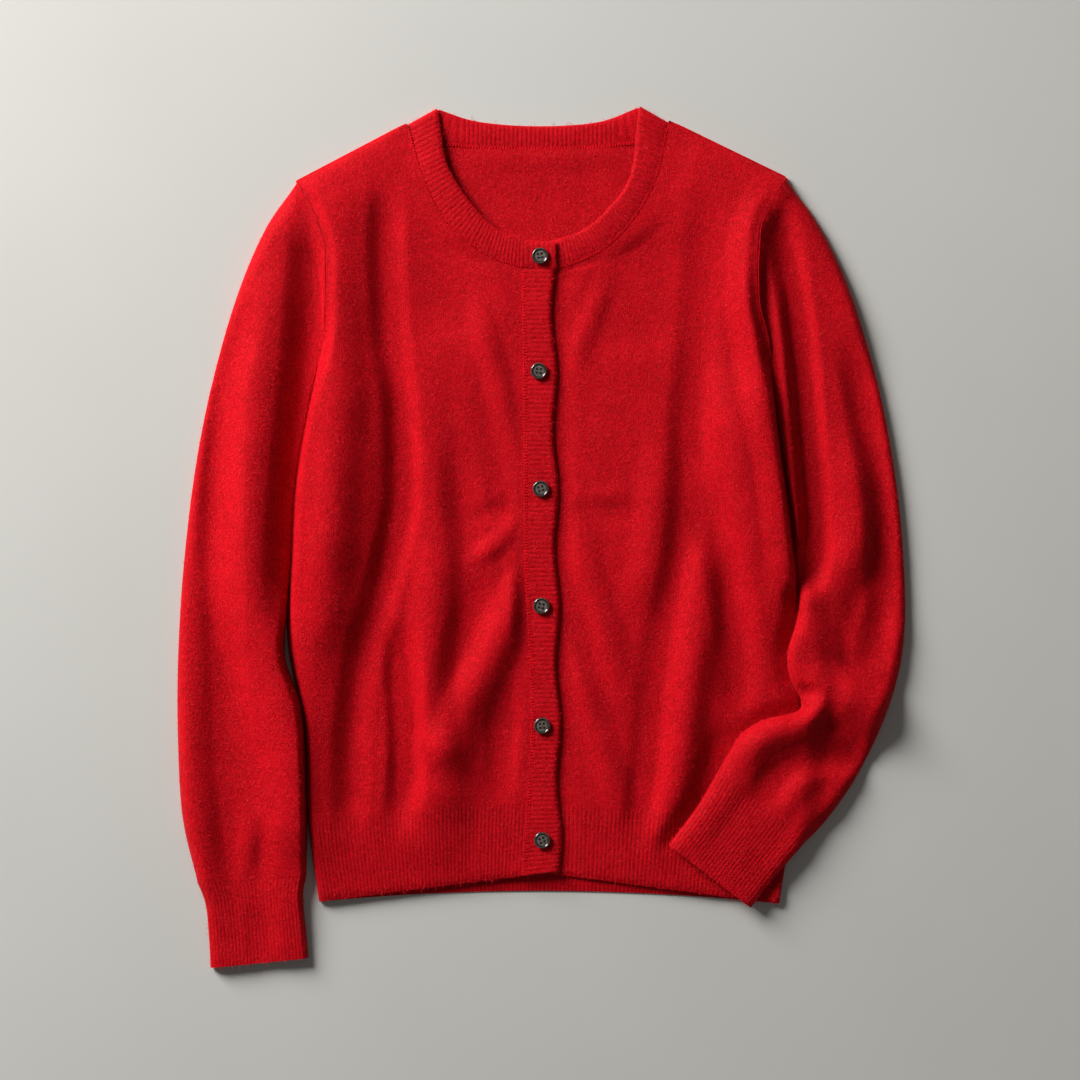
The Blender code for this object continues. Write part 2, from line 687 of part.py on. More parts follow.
def neckband():
    """One ribbed strip from front edge to front edge, folded over at each shoulder, its right end on top."""
    stations = []  # (seam point, free point, how far the wall's normal has turned over, in half turns)

    def add_run(seams, frees, heights, turn, ribs):
        for k in range(len(seams) - 1):
            for step in range(2 * ribs):
                t = step / (2 * ribs)
                stations.append(
                    (
                        [mix(a, b, t) for a, b in zip(seams[k], seams[k + 1])],
                        [mix(a, b, t) for a, b in zip(frees[k], frees[k + 1])],
                        mix(heights[k], heights[k + 1], t),
                        turn,
                    )
                )

    def front_run(rows, edge):
        seams = [(rows[k]["seam_x"], rows[k]["seam_y"]) for k in range(NECK_BASE, SHOULDER + 1)]
        heights = [rows[k]["seam_z"] for k in range(NECK_BASE, SHOULDER + 1)]
        return seams, smooth_rows(edge), heights

    right_seams, right_frees, right_heights = front_run(RIGHT_ROWS, RIGHT_NECK_EDGE)
    left_seams, left_frees, left_heights = front_run(LEFT_ROWS, LEFT_NECK_EDGE)
    back_seams, back_frees = smooth_rows(BACK_SEAM), smooth_rows(BACK_FREE)
    for seams, frees, height in ((right_seams, right_frees, right_heights[-1]),
                                 (left_seams, left_frees, left_heights[-1])):
        out_x, out_y = outward(seams[-1], frees[-1])
        pull = (height + WALL) / 2
        seams[-1] = (seams[-1][0] - out_x * pull, seams[-1][1] - out_y * pull)
        frees[-1] = (frees[-1][0] - out_x * pull, frees[-1][1] - out_y * pull)
    back_seams[0], back_frees[0] = right_seams[-1], right_frees[-1]
    back_seams[-1], back_frees[-1] = left_seams[-1], left_frees[-1]
    add_run([RIGHT_BAND_END[0], right_seams[0]], [RIGHT_BAND_END[1], right_frees[0]],
            [BAND_REST + NECK_END_RISE, right_heights[0]], 0.0, NECK_END_RIBS)
    add_run(right_seams, right_frees, right_heights, 0.0, NECK_RIBS_PER_STEP)
    for turn in TURNS:
        stations.append((right_seams[-1], right_frees[-1], right_heights[-1], turn))
    add_run(back_seams, back_frees, [0.0] * len(back_seams), 1.0, BACK_NECK_RIBS_PER_STEP)
    for turn in reversed(TURNS):
        stations.append((left_seams[-1], left_frees[-1], left_heights[-1], turn))
    add_run(left_seams[::-1], left_frees[::-1], left_heights[::-1], 0.0, NECK_RIBS_PER_STEP)
    add_run([left_seams[0], LEFT_BAND_END[0]], [left_frees[0], LEFT_BAND_END[1]],
            [left_heights[0], left_heights[0]], 0.0, NECK_UNDER_RIBS)
    stations.append((LEFT_BAND_END[0], LEFT_BAND_END[1], left_heights[0], 0.0))

    def point(column, row, upper):
        seam, free, height, turn = stations[column]
        length = math.hypot(free[0] - seam[0], free[1] - seam[1])
        share = mix(SEAM_GAP / length, 1.0, row)
        x, y = mix(seam[0], free[0], share), mix(seam[1], free[1], share)
        rib = RIB_RISE * (column % 2)
        if turn == 0.0:
            return x, y, height + row * NECK_EDGE_RISE * ease(height - FRONT_REST) + upper * (WALL + rib)
        if turn == 1.0:
            return x, y, (WALL + rib) * (not upper)
        out_x, out_y = outward(seam, free)
        radius = height / 2 + (WALL / 2 if upper else -WALL / 2)
        away, up = radius * math.sin(turn * math.pi), radius * math.cos(turn * math.pi)
        return x + out_x * away, y + out_y * away, (height + WALL) / 2 + up

    return sheet("neckband", len(stations) - 1, 1, point)


def band_free_x(y):
    """The buttonhole band's free edge, which springs out at each button."""
    top, bottom = RIGHT_ROWS[NECK_BASE]["seam_y"], RIGHT_ROWS[0]["seam_y"]
    drift = BAND_DRIFT * (top - y) / (top - bottom)
    wave = math.cos(2.0 * math.pi * (y - BAND_WAVE_CREST) / BUTTON_PITCH)
    return BAND_FREE_X + drift + BAND_WAVE * (wave - 1.0)


def band_stations(rows, ribbed):
    """(y, seam x, underside) down a front's band from the neckband to the hem, two for each rib."""
    stations = []
    for k in range(NECK_BASE, 0, -1):
        high, low = rows[k], rows[k - 1]
        count = 2 * round((high["seam_y"] - low["seam_y"]) / BAND_RIB_PITCH) if ribbed else 1
        for step in range(count):
            t = step / count
            stations.append(tuple(mix(high[key], low[key], t) for key in ("seam_y", "seam_x", "seam_z")))
    top = stations[0]
    stations[0] = (top[0] - BAND_TOP_GAP, top[1], top[2])
    stations.append(tuple(rows[0][key] for key in ("seam_y", "seam_x", "seam_z")))
    return stations


def buttonhole_band():
    stations = band_stations(RIGHT_ROWS, ribbed=True)
    last = len(stations) - 1

    def point(column, row, upper):
        y, seam_x, height = stations[column]
        x = mix(seam_x + SEAM_GAP, band_free_x(y), row)
        y += row * BAND_END_SLOPE * ease(1.0 - (last - column) / last / BAND_END_STATIONS)
        return x, y, height + upper * (WALL + RIB_RISE * (column % 2))

    return sheet("buttonhole_band", last, 1, point)


def button_band():
    """The plain strip that carries the buttons, under the buttonhole band."""
    stations = band_stations(LEFT_ROWS, ribbed=False)

    def point(column, row, upper):
        y, seam_x, _ = stations[column]
        return mix(BUTTON_BAND_X, seam_x - SEAM_GAP, row), y, FRONT_REST + WALL * upper

    return sheet("button_band", len(stations) - 1, 1, point)


def button(number, x, y, z):
    """A four-hole button: a turned body with a raised rim and a sunk middle, and its holes cut through."""
    radius, height = BUTTON_DIAMETER / 2, BUTTON_THICKNESS
    mesh = bmesh.new()
    verts = [
        mesh.verts.new(Vector((point.out * radius, 0.0, point.up * height)) * MM) for point in BUTTON_PROFILE
    ]
    edges = [mesh.edges.new(pair) for pair in zip(verts, verts[1:])]
    bmesh.ops.spin(
        mesh, geom=verts + edges, axis=(0, 0, 1), cent=(0, 0, 0), angle=2 * math.pi,
        steps=BUTTON_SIDES, use_merge=True,
    )
    bmesh.ops.remove_doubles(mesh, verts=mesh.verts, dist=1e-6)
    made = new_object(f"button_{number}", mesh, BUTTON_GREY, 0.3)
    made.location = Vector((x, y, z)) * MM

    drills = bmesh.new()
    for side_x in (-1, 1):
        for side_y in (-1, 1):
            drill = bmesh.ops.create_cone(
                drills, cap_ends=True, segments=HOLE_SIDES, radius1=BUTTON_HOLE / 2 * MM,
                radius2=BUTTON_HOLE / 2 * MM, depth=3 * height * MM,
            )
            shift = Vector((side_x, side_y, 0.0)) * BUTTON_HOLES_APART / 2 * MM
            bmesh.ops.translate(drills, verts=drill["verts"], vec=shift)
    cutter = new_object(f"button_{number}_holes", drills, BUTTON_GREY, 0.3)
    cutter.hide_render = True
    cutter.parent = made
    cut = made.modifiers.new("holes", "BOOLEAN")
    cut.operation = "DIFFERENCE"
    cut.object = cutter
    return made


def buttons():
    """The six buttons, the first on the neckband's end and the others on the buttonhole band."""
    for number, (x, y) in enumerate(BUTTON_PLACES, start=1):
        rest = BAND_REST + NECK_END_RISE if number == 1 else BAND_REST
        button(number, x, y, rest + WALL + RIB_RISE + BUTTON_GAP)


# ------------------------------------------------------------------ the whole garment


def clear_scene():
    for old in list(bpy.data.objects):
        bpy.data.objects.remove(old, do_unlink=True)


def main():
    clear_scene()
    back()
    back_hem()
    front("right_front", RIGHT_ROWS, RIGHT_RELIEF)
    front("left_front", LEFT_ROWS, LEFT_RELIEF)
    front_hem("right_front_hem_rib", RIGHT_ROWS, RIGHT_RELIEF)
    front_hem("left_front_hem_rib", LEFT_ROWS, LEFT_RELIEF)
    right_sleeve_relief = Relief(RIGHT_SLEEVE_FOLDS)
    left_sleeve_relief = Relief(LEFT_SLEEVE_FOLDS)
    sleeve("right_sleeve", RIGHT_SLEEVE, RIGHT_ROWS, right_sleeve_relief, on_surface)
    sleeve("left_sleeve", LEFT_SLEEVE, LEFT_ROWS, left_sleeve_relief, forearm_rest)
    cuff("right_cuff", RIGHT_CUFF, right_sleeve_relief, on_surface)
    cuff("left_cuff", LEFT_CUFF, left_sleeve_relief, forearm_rest)
    neckband()
    buttonhole_band()
    button_band()
    buttons()


main()
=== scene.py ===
"""Button cardigan in brushed wool, laid out flat on its back with one sleeve folded over its hem.

Sizes and places in the tables are in millimetres on the plan of the laid-out garment: x across it, y up
towards the neck, z up from the surface it lies on. "Right" and "left" are the wearer's, so the wearer's
right is at -x. A cloth piece is a grid of points for its outer face with a wall behind it.
"""

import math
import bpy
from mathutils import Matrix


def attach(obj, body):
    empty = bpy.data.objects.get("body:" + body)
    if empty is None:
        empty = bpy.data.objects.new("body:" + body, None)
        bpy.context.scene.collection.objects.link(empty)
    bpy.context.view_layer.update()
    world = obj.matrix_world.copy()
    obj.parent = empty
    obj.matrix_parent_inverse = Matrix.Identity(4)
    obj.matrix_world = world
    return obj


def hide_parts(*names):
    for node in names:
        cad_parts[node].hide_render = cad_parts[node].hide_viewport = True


bl_info = {
    "name": "Button cardigan",
    "version": (1, 0, 0),
    "blender": (4, 5, 0),
    "location": "3D View > Sidebar > Cardigan",
    "description": "A knitted cardigan laid out flat, with its ribs, seams, buttons and loose fibres",
    "category": "Mesh",
}

from collections import namedtuple

import bmesh
import bpy
import numpy as np
from mathutils import Matrix, Vector

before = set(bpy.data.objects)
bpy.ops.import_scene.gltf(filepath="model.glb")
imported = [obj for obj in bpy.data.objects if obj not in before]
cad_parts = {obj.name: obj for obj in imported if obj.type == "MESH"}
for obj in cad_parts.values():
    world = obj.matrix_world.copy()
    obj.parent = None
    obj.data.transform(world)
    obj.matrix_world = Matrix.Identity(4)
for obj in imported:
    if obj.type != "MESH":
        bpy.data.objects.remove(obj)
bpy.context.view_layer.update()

MM = 0.001

# Cloth
WALL = 1.8
SEAM_GAP = 0.45
ARMHOLE_SHIFT = 0.312  # of a sleeve away from its armhole
SEAM_DROP = 0.6  # how far cloth is drawn down into a seam
EDGE_LOW = 0.3  # height of a turned-down edge's lowest point
EDGE_BULGE = 0.5  # how far a turned-down edge springs out
EDGE_THIN = 0.45  # a knitted edge's thickness, as a share of the cloth's
EDGE_RIB = 0.4  # and its ribs' height, as a share of a rib's
CLOTH_LOW = 0.05  # lowest point of hidden faces and fibres
EDGE_LENGTH = 1.6  # how far in from it a knitted edge has its full thickness
HIDDEN_WALL = 0.9  # thickness behind a front's or a sleeve's outer face, as a share of the cloth's
CUFF_WALL = 0.8

# Fronts and back
FRONT_REST = 2.4  # lowest underside of a front, just clear of the back
FRONT_LIFT = 8.0  # its usual underside between folds
SEAM_LIFT = 0.4  # and at its seam, above that seam's own height
SIDE_REST = 2.5  # underside of a side below the armhole
FRONT_GAIN = 1.12  # height of the folds, as a share of their tables'
SLEEVE_GAIN = 1.08
FOLD_REACH = 1.6  # a fold ends this many half widths from its line
FOLD_SAMPLES = 6  # points of its smooth line for each one of its table
FLOOR_BLEND = 1.6  # how softly a fold's valley comes to rest
FLOOR_SINK = 0.12  # and how much of that it gives back
EDGE_ROLL = 13.0  # how far in from each edge the cloth reaches its full height
SIDE_ROLL = 6.0
ARMHOLE_ROLL = 9.5
NECK_ROLL = 20.0
BAND_ROLL = 13.0
BAND_COVERS = 10.0  # the flat strip of a front that runs along its button band
HEM_FALL = 4.0  # from the rib line down, the front comes down by this much at its side
ARMHOLE_DEPTH = 2.5  # an armhole this far above a side's rest has its whole rise
ARMHOLE_STEPS = 0.6  # steps over which a side's edge changes from turned down to sewn
SHOULDER_STEPS = 0.4  # and back, at the shoulder
SHOULDER_TURN = 12.0  # how far from the neck's seam the shoulder's edge springs out in full
BACK_INSET = 2.6  # the back's sides stay this far inside the fronts'
BACK_DIP = 0.6  # deepest crease of the back
BACK_RIM = 0.02  # share of its width along each side that stays flat

# Button bands and buttons
BAND_REST = 5.3  # underside of the buttonhole band, above the button band
BAND_RIB_PITCH = 3.5
BAND_FREE_X = 10.9  # the buttonhole band's free edge at its top
BAND_DRIFT = 5.0  # how much further over it lies at the hem
BAND_WAVE = 1.7  # how far the free edge springs out at each button, to each side of its mean
BAND_WAVE_CREST = 210.0  # y of its first crest
BAND_TOP_GAP = 0.4  # below the neckband
BAND_END_SLOPE = 3.0  # how much higher the free corner is than the seam corner, at the hem
BAND_END_STATIONS = 1 / 8  # share of the band over which that slope comes in
BAND_CROWDING = 0.35  # how much closer a band's columns lie at its edges
BAND_DIMPLE = 0.55  # how far a button presses the band down
BAND_DIMPLE_RADIUS = 7.5
BAND_DIMPLE_THROUGH = 0.4  # share of that which its underside shows
BAND_CROWN = 0.2
BAND_LEAN = 0.6  # how much higher its free edge stands than its seam
BAND_EDGE_RIB = 0.3  # height of a rib at a band's edges, as a share of a rib's
BAND_SEAM_THIN = 0.9  # thickness at its seam, and at its end by the hem
BAND_END_THIN = 0.5
FREE_ROLL = 1.5  # how far in from a band's free edge it has its full thickness
SEAM_ROLL = 1.3  # and from its seam
BUTTON_BAND_X = -12.4
BUTTON_PITCH = 87.2
BUTTON_DIAMETER = 12.5
BUTTON_THICKNESS = 2.6
BUTTON_SEAT = 2.7  # a button's back above the underside of what it is sewn to
BUTTON_HOLE = 1.9
BUTTON_HOLES_APART = 2.9
BUTTON_STEPS = 56
DRILL_SIDES = 20
BUTTON_PLACES = ((-1.0, 210.0), (-2.0, 124.0), (-0.5, 36.0), (0.0, -51.5), (0.5, -141.0), (0.5, -226.5))
BUTTON_TURNS = (8.0, -6.0, 15.0, -12.0, 4.0, 22.0)
THREAD_RADIUS = 0.15
THREAD_SIDES = 8
SHANK_SIDES = 12
THREAD_LEVEL = 0.71  # height of the strands, as a share of the button's thickness
SHANK_LEVEL = 0.27
SHANK_SHARES = (0.46, 0.3, 0.5)  # radius below and above, of a hole's width, and length, of the thickness

# Ribbed edges. A rib share is how much of a rib's full height shows on that piece.
HEM_RIBS = 57  # on each front
HEM_RIB_SHARE = 0.6
BACK_HEM_RISE = 8.5  # how much higher the back's hem is in the middle than at the sides
BACK_RIB = 0.35
BACK_HEM_THIN = 0.6
BAND_RIB_SHARE = 0.5
BUTTON_BAND_RIB = 0.4
NECK_RIBS_PER_STEP = 5
NECK_RIB_SHARE = 0.55
NECK_FOLD_RIBS = 1.5  # in each fold at a shoulder
BACK_NECK_RIBS = 46
NECK_END_RIBS = 6  # from the right front's seam line to the neckband's upper end
NECK_UNDER_RIBS = 4  # and from the left front's to its lower end
NECK_EDGE_RISE = 0.6  # the neckband's free edge stands this much higher than its seam
NECK_END_RISE = 0.2  # and its upper end this much higher than the buttonhole band
NECK_CROWN = 0.7
NECK_SEAM_THIN = 0.55
NECK_DRAW = 0.25  # share of a front's neckline over which it moves over to the fold
NECK_FAN = 0.14  # share of the back neck over which its ribs fan out at each end
NECK_JOIN = 0.04  # and over which its edges meet the folds
CUFF_RIBS = 28  # on its upper side
CUFF_RIB_SHARE = 0.6
CUFF_LENGTH = 65.0
CUFF_SIDE = 2.0  # how far in from its folded sides its ribs reach their height
RIB_FADE = 5.0  # length over which ribs come up out of a plain piece
HEM_RIB_START = 0.15  # how far on that rise is at its start
CUFF_RIB_START = 0.1
RIB_SOFTNESS = 0.02  # rounds the bottom of a groove

# Steps of the body's rows, counted from the hem
RIB_LINE = 2
UNDERARM = 12
NECK_BASE = 16
SHOULDER = 24

Row = namedtuple("Row", "steps side_x side_y side_z seam_x seam_y seam_z")
Free = namedtuple("Free", "steps x y")
Across = namedtuple("Across", "steps outer_x outer_y inner_x inner_y")
Ridge = namedtuple("Ridge", "name half_width points")  # each point x, y and height
Turned = namedtuple("Turned", "out up")
Chain = namedtuple("Chain", "pitch size lean")  # size: length, width and height of one link

# The fronts, a row for each section from the hem up. side_z and seam_z are the heights of the underside at
# the side or armhole, and at the button band or the neckband.
RIGHT_LOWER = (
    Row(0, -166, -273, 2.5, -13, -253.5, 5.3),
    Row(2, -174.5, -211, 2.5, -9.5, -197, 5.3),
    Row(2, -177.5, -139, 2.5, -6.5, -139, 5.3),
    Row(2, -188.5, -77, 2.5, -8.5, -77, 5.3),
    Row(2, -186.5, -14, 2.5, -11.5, -14, 5.3),
    Row(2, -182, 52, 2.5, -12, 52, 5.3),
    Row(2, -164.5, 140, 5.0, -12.5, 139, 5.3),
    Row(2, -161.5, 172, 7.5, -13, 170, 5.3),
    Row(2, -161, 202, 8.0, -13, 201, 5.3),
)
RIGHT_YOKE = (
    RIGHT_LOWER[-1]._replace(steps=0),
    Row(2, -161.5, 217, 7.6, -43, 212, 5.6),
    Row(2, -166, 233, 6.4, -71.5, 236, 6.2),
    Row(2, -173, 250, 4.4, -89.5, 271.5, 5.6),
    Row(2, -182, 266, 2.5, -100, 309, 3.0),
)
LEFT_LOWER = (
    Row(0, 177.5, -274.5, 2.5, 5.5, -252, 2.5),
    Row(2, 187, -211, 2.5, 5.5, -199.5, 2.5),
    Row(2, 192.5, -134, 2.5, 5.5, -137, 2.5),
    Row(2, 192.5, -71, 2.5, 5.5, -77, 2.5),
    Row(2, 189.5, -19, 2.5, 5.5, -16, 2.5),
    Row(2, 181, 52, 2.5, 5.5, 52, 2.5),
    Row(2, 168.5, 143, 5.0, 5.5, 139, 2.5),
    Row(2, 161.5, 172, 7.5, 5.5, 170, 2.5),
    Row(2, 160, 199.5, 8.5, 5.5, 199.5, 2.5),
)
LEFT_YOKE = (
    LEFT_LOWER[-1]._replace(steps=0),
    Row(2, 161, 217, 8.0, 38, 211, 4.2),
    Row(2, 163, 234, 6.8, 64, 232.5, 6.2),
    Row(2, 171.5, 250, 4.6, 84.5, 267, 5.6),
    Row(2, 182.5, 268, 2.5, 95, 310.5, 3.0),
)

# The neckband's free edge, from where each front's button band ends up to the shoulder fold
RIGHT_NECK_EDGE = (
    Free(0, -13, 221),
    Free(2, -35.5, 232),
    Free(2, -54.5, 252),
    Free(2, -71, 280.5),
    Free(2, -78.5, 321),
)
LEFT_NECK_EDGE = (
    Free(0, 5.5, 221.5),
    Free(2, 29.5, 229),
    Free(2, 49, 245),
    Free(2, 66.5, 271),
    Free(2, 74, 322.5),
)
RIGHT_BAND_END = ((10.5, 200.5), (10.5, 220.5))  # seam point and free point of the neckband's upper end
LEFT_BAND_END = ((-12.5, 200.5), (-13, 221))
BACK_SEAM = (
    Free(0, -101, 306.5),
    Free(2, -74, 294.5),
    Free(2, -7, 291),
    Free(2, 73, 295.5),
    Free(2, 96, 308),
)
BACK_FREE = (
    Free(0, -78.5, 321),
    Free(2, -48, 311.5),
    Free(2, -4, 308),
    Free(2, 42, 311),
    Free(2, 74, 322.5),
)

# The sleeves, a row for each section from the armhole down: the outer and the inner edge of the flat tube
RIGHT_SLEEVE = (
    Across(0, -182, 266, -164.5, 140),
    Across(2, -206.5, 231, -170, 112),
    Across(2, -228.5, 179, -178.5, 74),
    Across(2, -247, 114, -184.5, 28),
    Across(2, -259.5, 50, -187.5, -14),
    Across(2, -268, -21, -190.5, -56),
    Across(2, -272, -85, -191.5, -92),
    Across(2, -272.5, -143, -177, -137),
    Across(2, -269, -208.5, -175.5, -206),
    Across(2, -257.5, -259, -176, -253),
)
RIGHT_CUFF = (
    RIGHT_SLEEVE[-1]._replace(steps=0),
    Across(1, -251.5, -276, -178.5, -268.5),
    Across(1, -249, -302, -176, -298.5),
    Across(1, -248, -322.5, -174.5, -315),
)
LEFT_SLEEVE = (
    Across(0, 182.5, 268, 168.5, 143),
    Across(2, 206.5, 235, 173, 109),
    Across(2, 227.5, 193, 178.5, 73),
    Across(2, 245, 140, 184, 38),
    Across(2, 257.5, 89, 188.5, 10),
    Across(1, 266.5, 35, 190.5, -19),
    Across(1, 271, -13.5, 193, -45),
    Across(1, 272.5, -56, 190, -65),
    Across(1, 270.5, -85, 184, -86),
    Across(1, 266.5, -106, 185.5, -104),
    Across(1, 259, -130, 194, -122),
    Across(1, 249.5, -153, 191.5, -130),
    Across(1, 239.5, -173, 181, -133),
    Across(1, 230, -189, 165.5, -137),
    Across(1, 219.5, -204, 150.5, -146),
    Across(1, 209, -217, 141.5, -159),
    Across(1, 197.5, -228, 132.5, -174),
)
LEFT_CUFF = (
    LEFT_SLEEVE[-1]._replace(steps=0),
    Across(1, 180.5, -247, 116, -202),
    Across(1, 156.5, -277, 95, -230),
)
TUBE_ACROSS = (0.0, 0.1, 0.25, 0.42, 0.6, 0.78, 1.0)  # shares of the width at the armhole's points
TUBE_WIDTH = 78.0  # usual width of the flat tube, to space its columns
TUBE_OVER_GAPS = (0.0, 0.12, 0.5, 1.1, 2.0, 3.2, 4.7, 6.5, 8.6, 11.0)  # of the columns by a folded edge
TUBE_OVER_FIRST = 13.5  # and of the first evenly spaced one
TUBE_UNDER_GAPS = (0.25, 0.9, 1.9, 3.2)
TUBE_UNDER_FIRST = 8.0
TUBE_INSIDE_LOW = 0.2  # lowest point of a tube's inner face
SLEEVE_LIFT = 9.8  # top of a sleeve between folds, above what it lies on
SLEEVE_LEAST = 4.3  # and at its lowest
SLEEVE_STEP = 34.0  # cloth between two sections
INNER_ROLL = 4.5  # how far in a sleeve's edge by the body reaches its full height
SLEEVE_ROLL = 9.0  # and its other edges
UNDER_ROLL = 3.2  # how far in its underside comes down to what it lies on
SLEEVE_EDGE = 2.2  # height of the folded edge's outermost point
CUFF_LIFT = 6.6
CUFF_STEP = 0.2  # the sleeve's end stands this much above the cuff
CUFF_REACH = 2.5  # sections over which it comes down to that
SIDE_GAP = 0.3  # between a sleeve's inner edge and the body's side
ARMHOLE_REACH = 5  # sleeve sections over which the armhole's curve fades out
ARMHOLE_RISE_OUT = 0.75  # and over which its height does, at the shoulder and at the underarm
ARMHOLE_RISE_IN = 0.2
BESIDE_LENGTH = 30.0  # of the left sleeve, over which its inner edge comes free of the body

COVER_START = 6  # the sleeve section from which the left sleeve lies over the front
COVER_REACH = 15.0  # how far outside the forearm the front starts to go down to it
COVER_INSIDE = 3.0  # and how far in it is down
FOREARM_REST = 5.7  # underside of the forearm where it lies on the front
CLIMB_TOP = -28.0  # the sleeve starts to climb on to the front at this y
CLIMB_LENGTH = 22.0
STEP_OFF_START = 4.0  # beyond the front's side, the underside stays up this far and then comes down
STEP_OFF_LENGTH = 20.0

# Folds: a table of x, y and height along the line of each
RIGHT_FOLDS = (
    Ridge("side crest", 22, ((-152.5, 279, 0), (-155.5, 234, 4.5), (-156.5, 178, 6.5), (-158, 118, 9),
        (-165, 58, 9.5), (-168, -2, 10), (-169, -62, 8), (-173, -122, 5), (-174, -170, 4), (-172, -215, 2),
        (-168, -262, 0))),
    Ridge("side plateau", 20, ((-134, 150, 0), (-138, 90, 5), (-143, 40, 7), (-146, 0, 7), (-149, -45, 4),
        (-150, -90, 0))),
    Ridge("chest valley", 10.5, ((-115, 283, 0), (-116, 223, -4.5), (-113, 155, -5), (-105.5, 95, -5.5),
        (-103.5, 50, -6), (-105, 20, -6.5), (-113, -15, -6), (-124, -55, -4.5), (-134, -90, -4),
        (-141, -140, -4.5), (-143, -190, -3.5), (-142, -235, 0))),
    Ridge("between crest", 9, ((-113, -60, 0), (-117, -90, -1), (-122, -137, -1.5), (-128, -212, 0))),
    Ridge("long valley", 10.5, ((-107, -55, 0), (-102, -115, -9.5), (-101, -175, -8.5), (-107, -227, 0))),
    Ridge("middle crest", 13.5, ((-89.5, 148, 0), (-85, 88, 1.5), (-79, 20, 2), (-80, -40, 4.5),
        (-84, -100, 6.5), (-80, -145, 5), (-80, -180, 0))),
    Ridge("hem crest", 20, ((-78, -132, 0), (-76, -165, 4), (-76, -190, 5.5),
        (-80, -222, 2.5), (-88, -258, 0))),
    Ridge("inner valley", 12, ((-67, 88, 0), (-59.5, 28, -3.5), (-52, -25, -1.5), (-53, -62, -3.5),
        (-70, -126, 0))),
    Ridge("slanting crest", 13.5, ((-1, 0, 0), (-15.5, -46, 6.5), (-35, -85, 5), (-55, -122, 5.5),
        (-66, -156, 4.5), (-71, -188, 0))),
    Ridge("slanting valley", 11.2, ((-8.5, -60, 0), (-18, -100, -1), (-29, -152, -4.5), (-31, -220, 0))),
    Ridge("button ridge", 6.8, ((-7, 14, 0), (-25, 2, 2), (-41, -11, 3), (-57.5, -23, 0))),
    Ridge("upper groove", 6.8, ((-10, 25, 0), (-32.5, 20, -2), (-53.5, 17, -1), (-72.5, 17, 0))),
    Ridge("lower groove", 6.8, ((-10, -6, 0), (-26.5, -16, 0.5), (-40, -25.5, 0.5), (-53.5, -37, 0))),
    Ridge("neck ridge", 9, ((-52, 185, 0), (-41.5, 148, 2.5), (-30.5, 110, 3), (-21.5, 73, 1),
        (-14.5, 35, 0))),
    Ridge("band hollow", 16, ((-34, 160, 0), (-33, 100, -1.6), (-32, 40, -1.6),
        (-30, -30, -1), (-30, -90, 0))),
    Ridge("yoke dip", 30, ((-83.5, 290, 0), (-75.5, 230, -3), (-75.5, 178, -4), (-76, 125, 0))),
)
LEFT_FOLDS = (
    Ridge("side crest", 14, ((176, 275, 0), (160, 223, 6.5), (158, 170, 9.5), (168.5, 103, 9.5),
        (179.5, 43, 9.5), (186, -12, 7), (188, -58, 0))),
    Ridge("side plateau", 19.5, ((145, 140, 0), (148, 80, 8), (159, 5, 6.5), (168, -45, 4), (173, -95, 0))),
    Ridge("chest valley", 12.8, ((128, 275, 0), (122.5, 215, -2.5), (117.5, 148, -3.5), (112, 80, -4.5),
        (109, 20, -3), (103, -32, 0))),
    Ridge("slanting valley", 10.5, ((110, 25, 0), (103, -20, -2.5), (92, -66, -2.5), (83, -122, -3),
        (78.5, -182, -5), (68.5, -238.5, 0))),
    Ridge("middle crest", 13, ((90.5, 155, 0), (91, 95, 0.5), (87, 28, 3.5), (80, -22, 3.5), (71, -73.5, 0))),
    Ridge("long crest", 12.5, ((126, 20, 0), (121, -40, 3.5), (112, -107, 6), (103, -175, 6.5),
        (93.5, -215, 3), (85, -255, 0))),
    Ridge("outer valley", 12, ((118, 58, 0), (131, -2, -4), (144, -55, -5), (147.5, -107, -4),
        (144, -148.5, 0))),
    Ridge("forearm groove", 10.5, ((149, -126, 0), (133.5, -163.5, -5), (120, -195, -1), (107, -220, 0))),
    Ridge("inner crest", 10.5, ((20, 31.5, 0), (35, -25, 2.5), (50.5, -77, 2.5), (68, -141, 0))),
    Ridge("inner groove", 9, ((15.5, -10, 0), (29, -66, -2), (44, -118.5, -1), (53.5, -156, 0))),
    Ridge("low inner crest", 9.8, ((20, -62, 0), (35, -118.5, 2.5), (50, -167, 2.5), (66.5, -235, 0))),
    Ridge("low groove", 9, ((14, -85, 0), (23.5, -141, -1.5), (36.5, -212, 0))),
    Ridge("neck ridge", 8.2, ((56.5, 211.5, 0), (42.5, 174, 2), (29, 142.5, 1.5), (18.5, 118, 0))),
    Ridge("neck groove", 8.2, ((36.5, 208, 0), (28, 174, -0.5), (17, 140, 0))),
    Ridge("button ridge", 6, ((15.5, 34.5, 0), (32.5, 32, 1), (53, 31.5, 1.5), (75.5, 32, 0))),
    Ridge("button groove", 6.8, ((15.5, 21, 0), (35, 18, -1), (55, 16, -1), (77.5, 16.5, 0))),
    Ridge("yoke dip", 30, ((83, 268, 0), (77, 215, -2.5), (73, 170, -4), (70, 125, 0))),
)
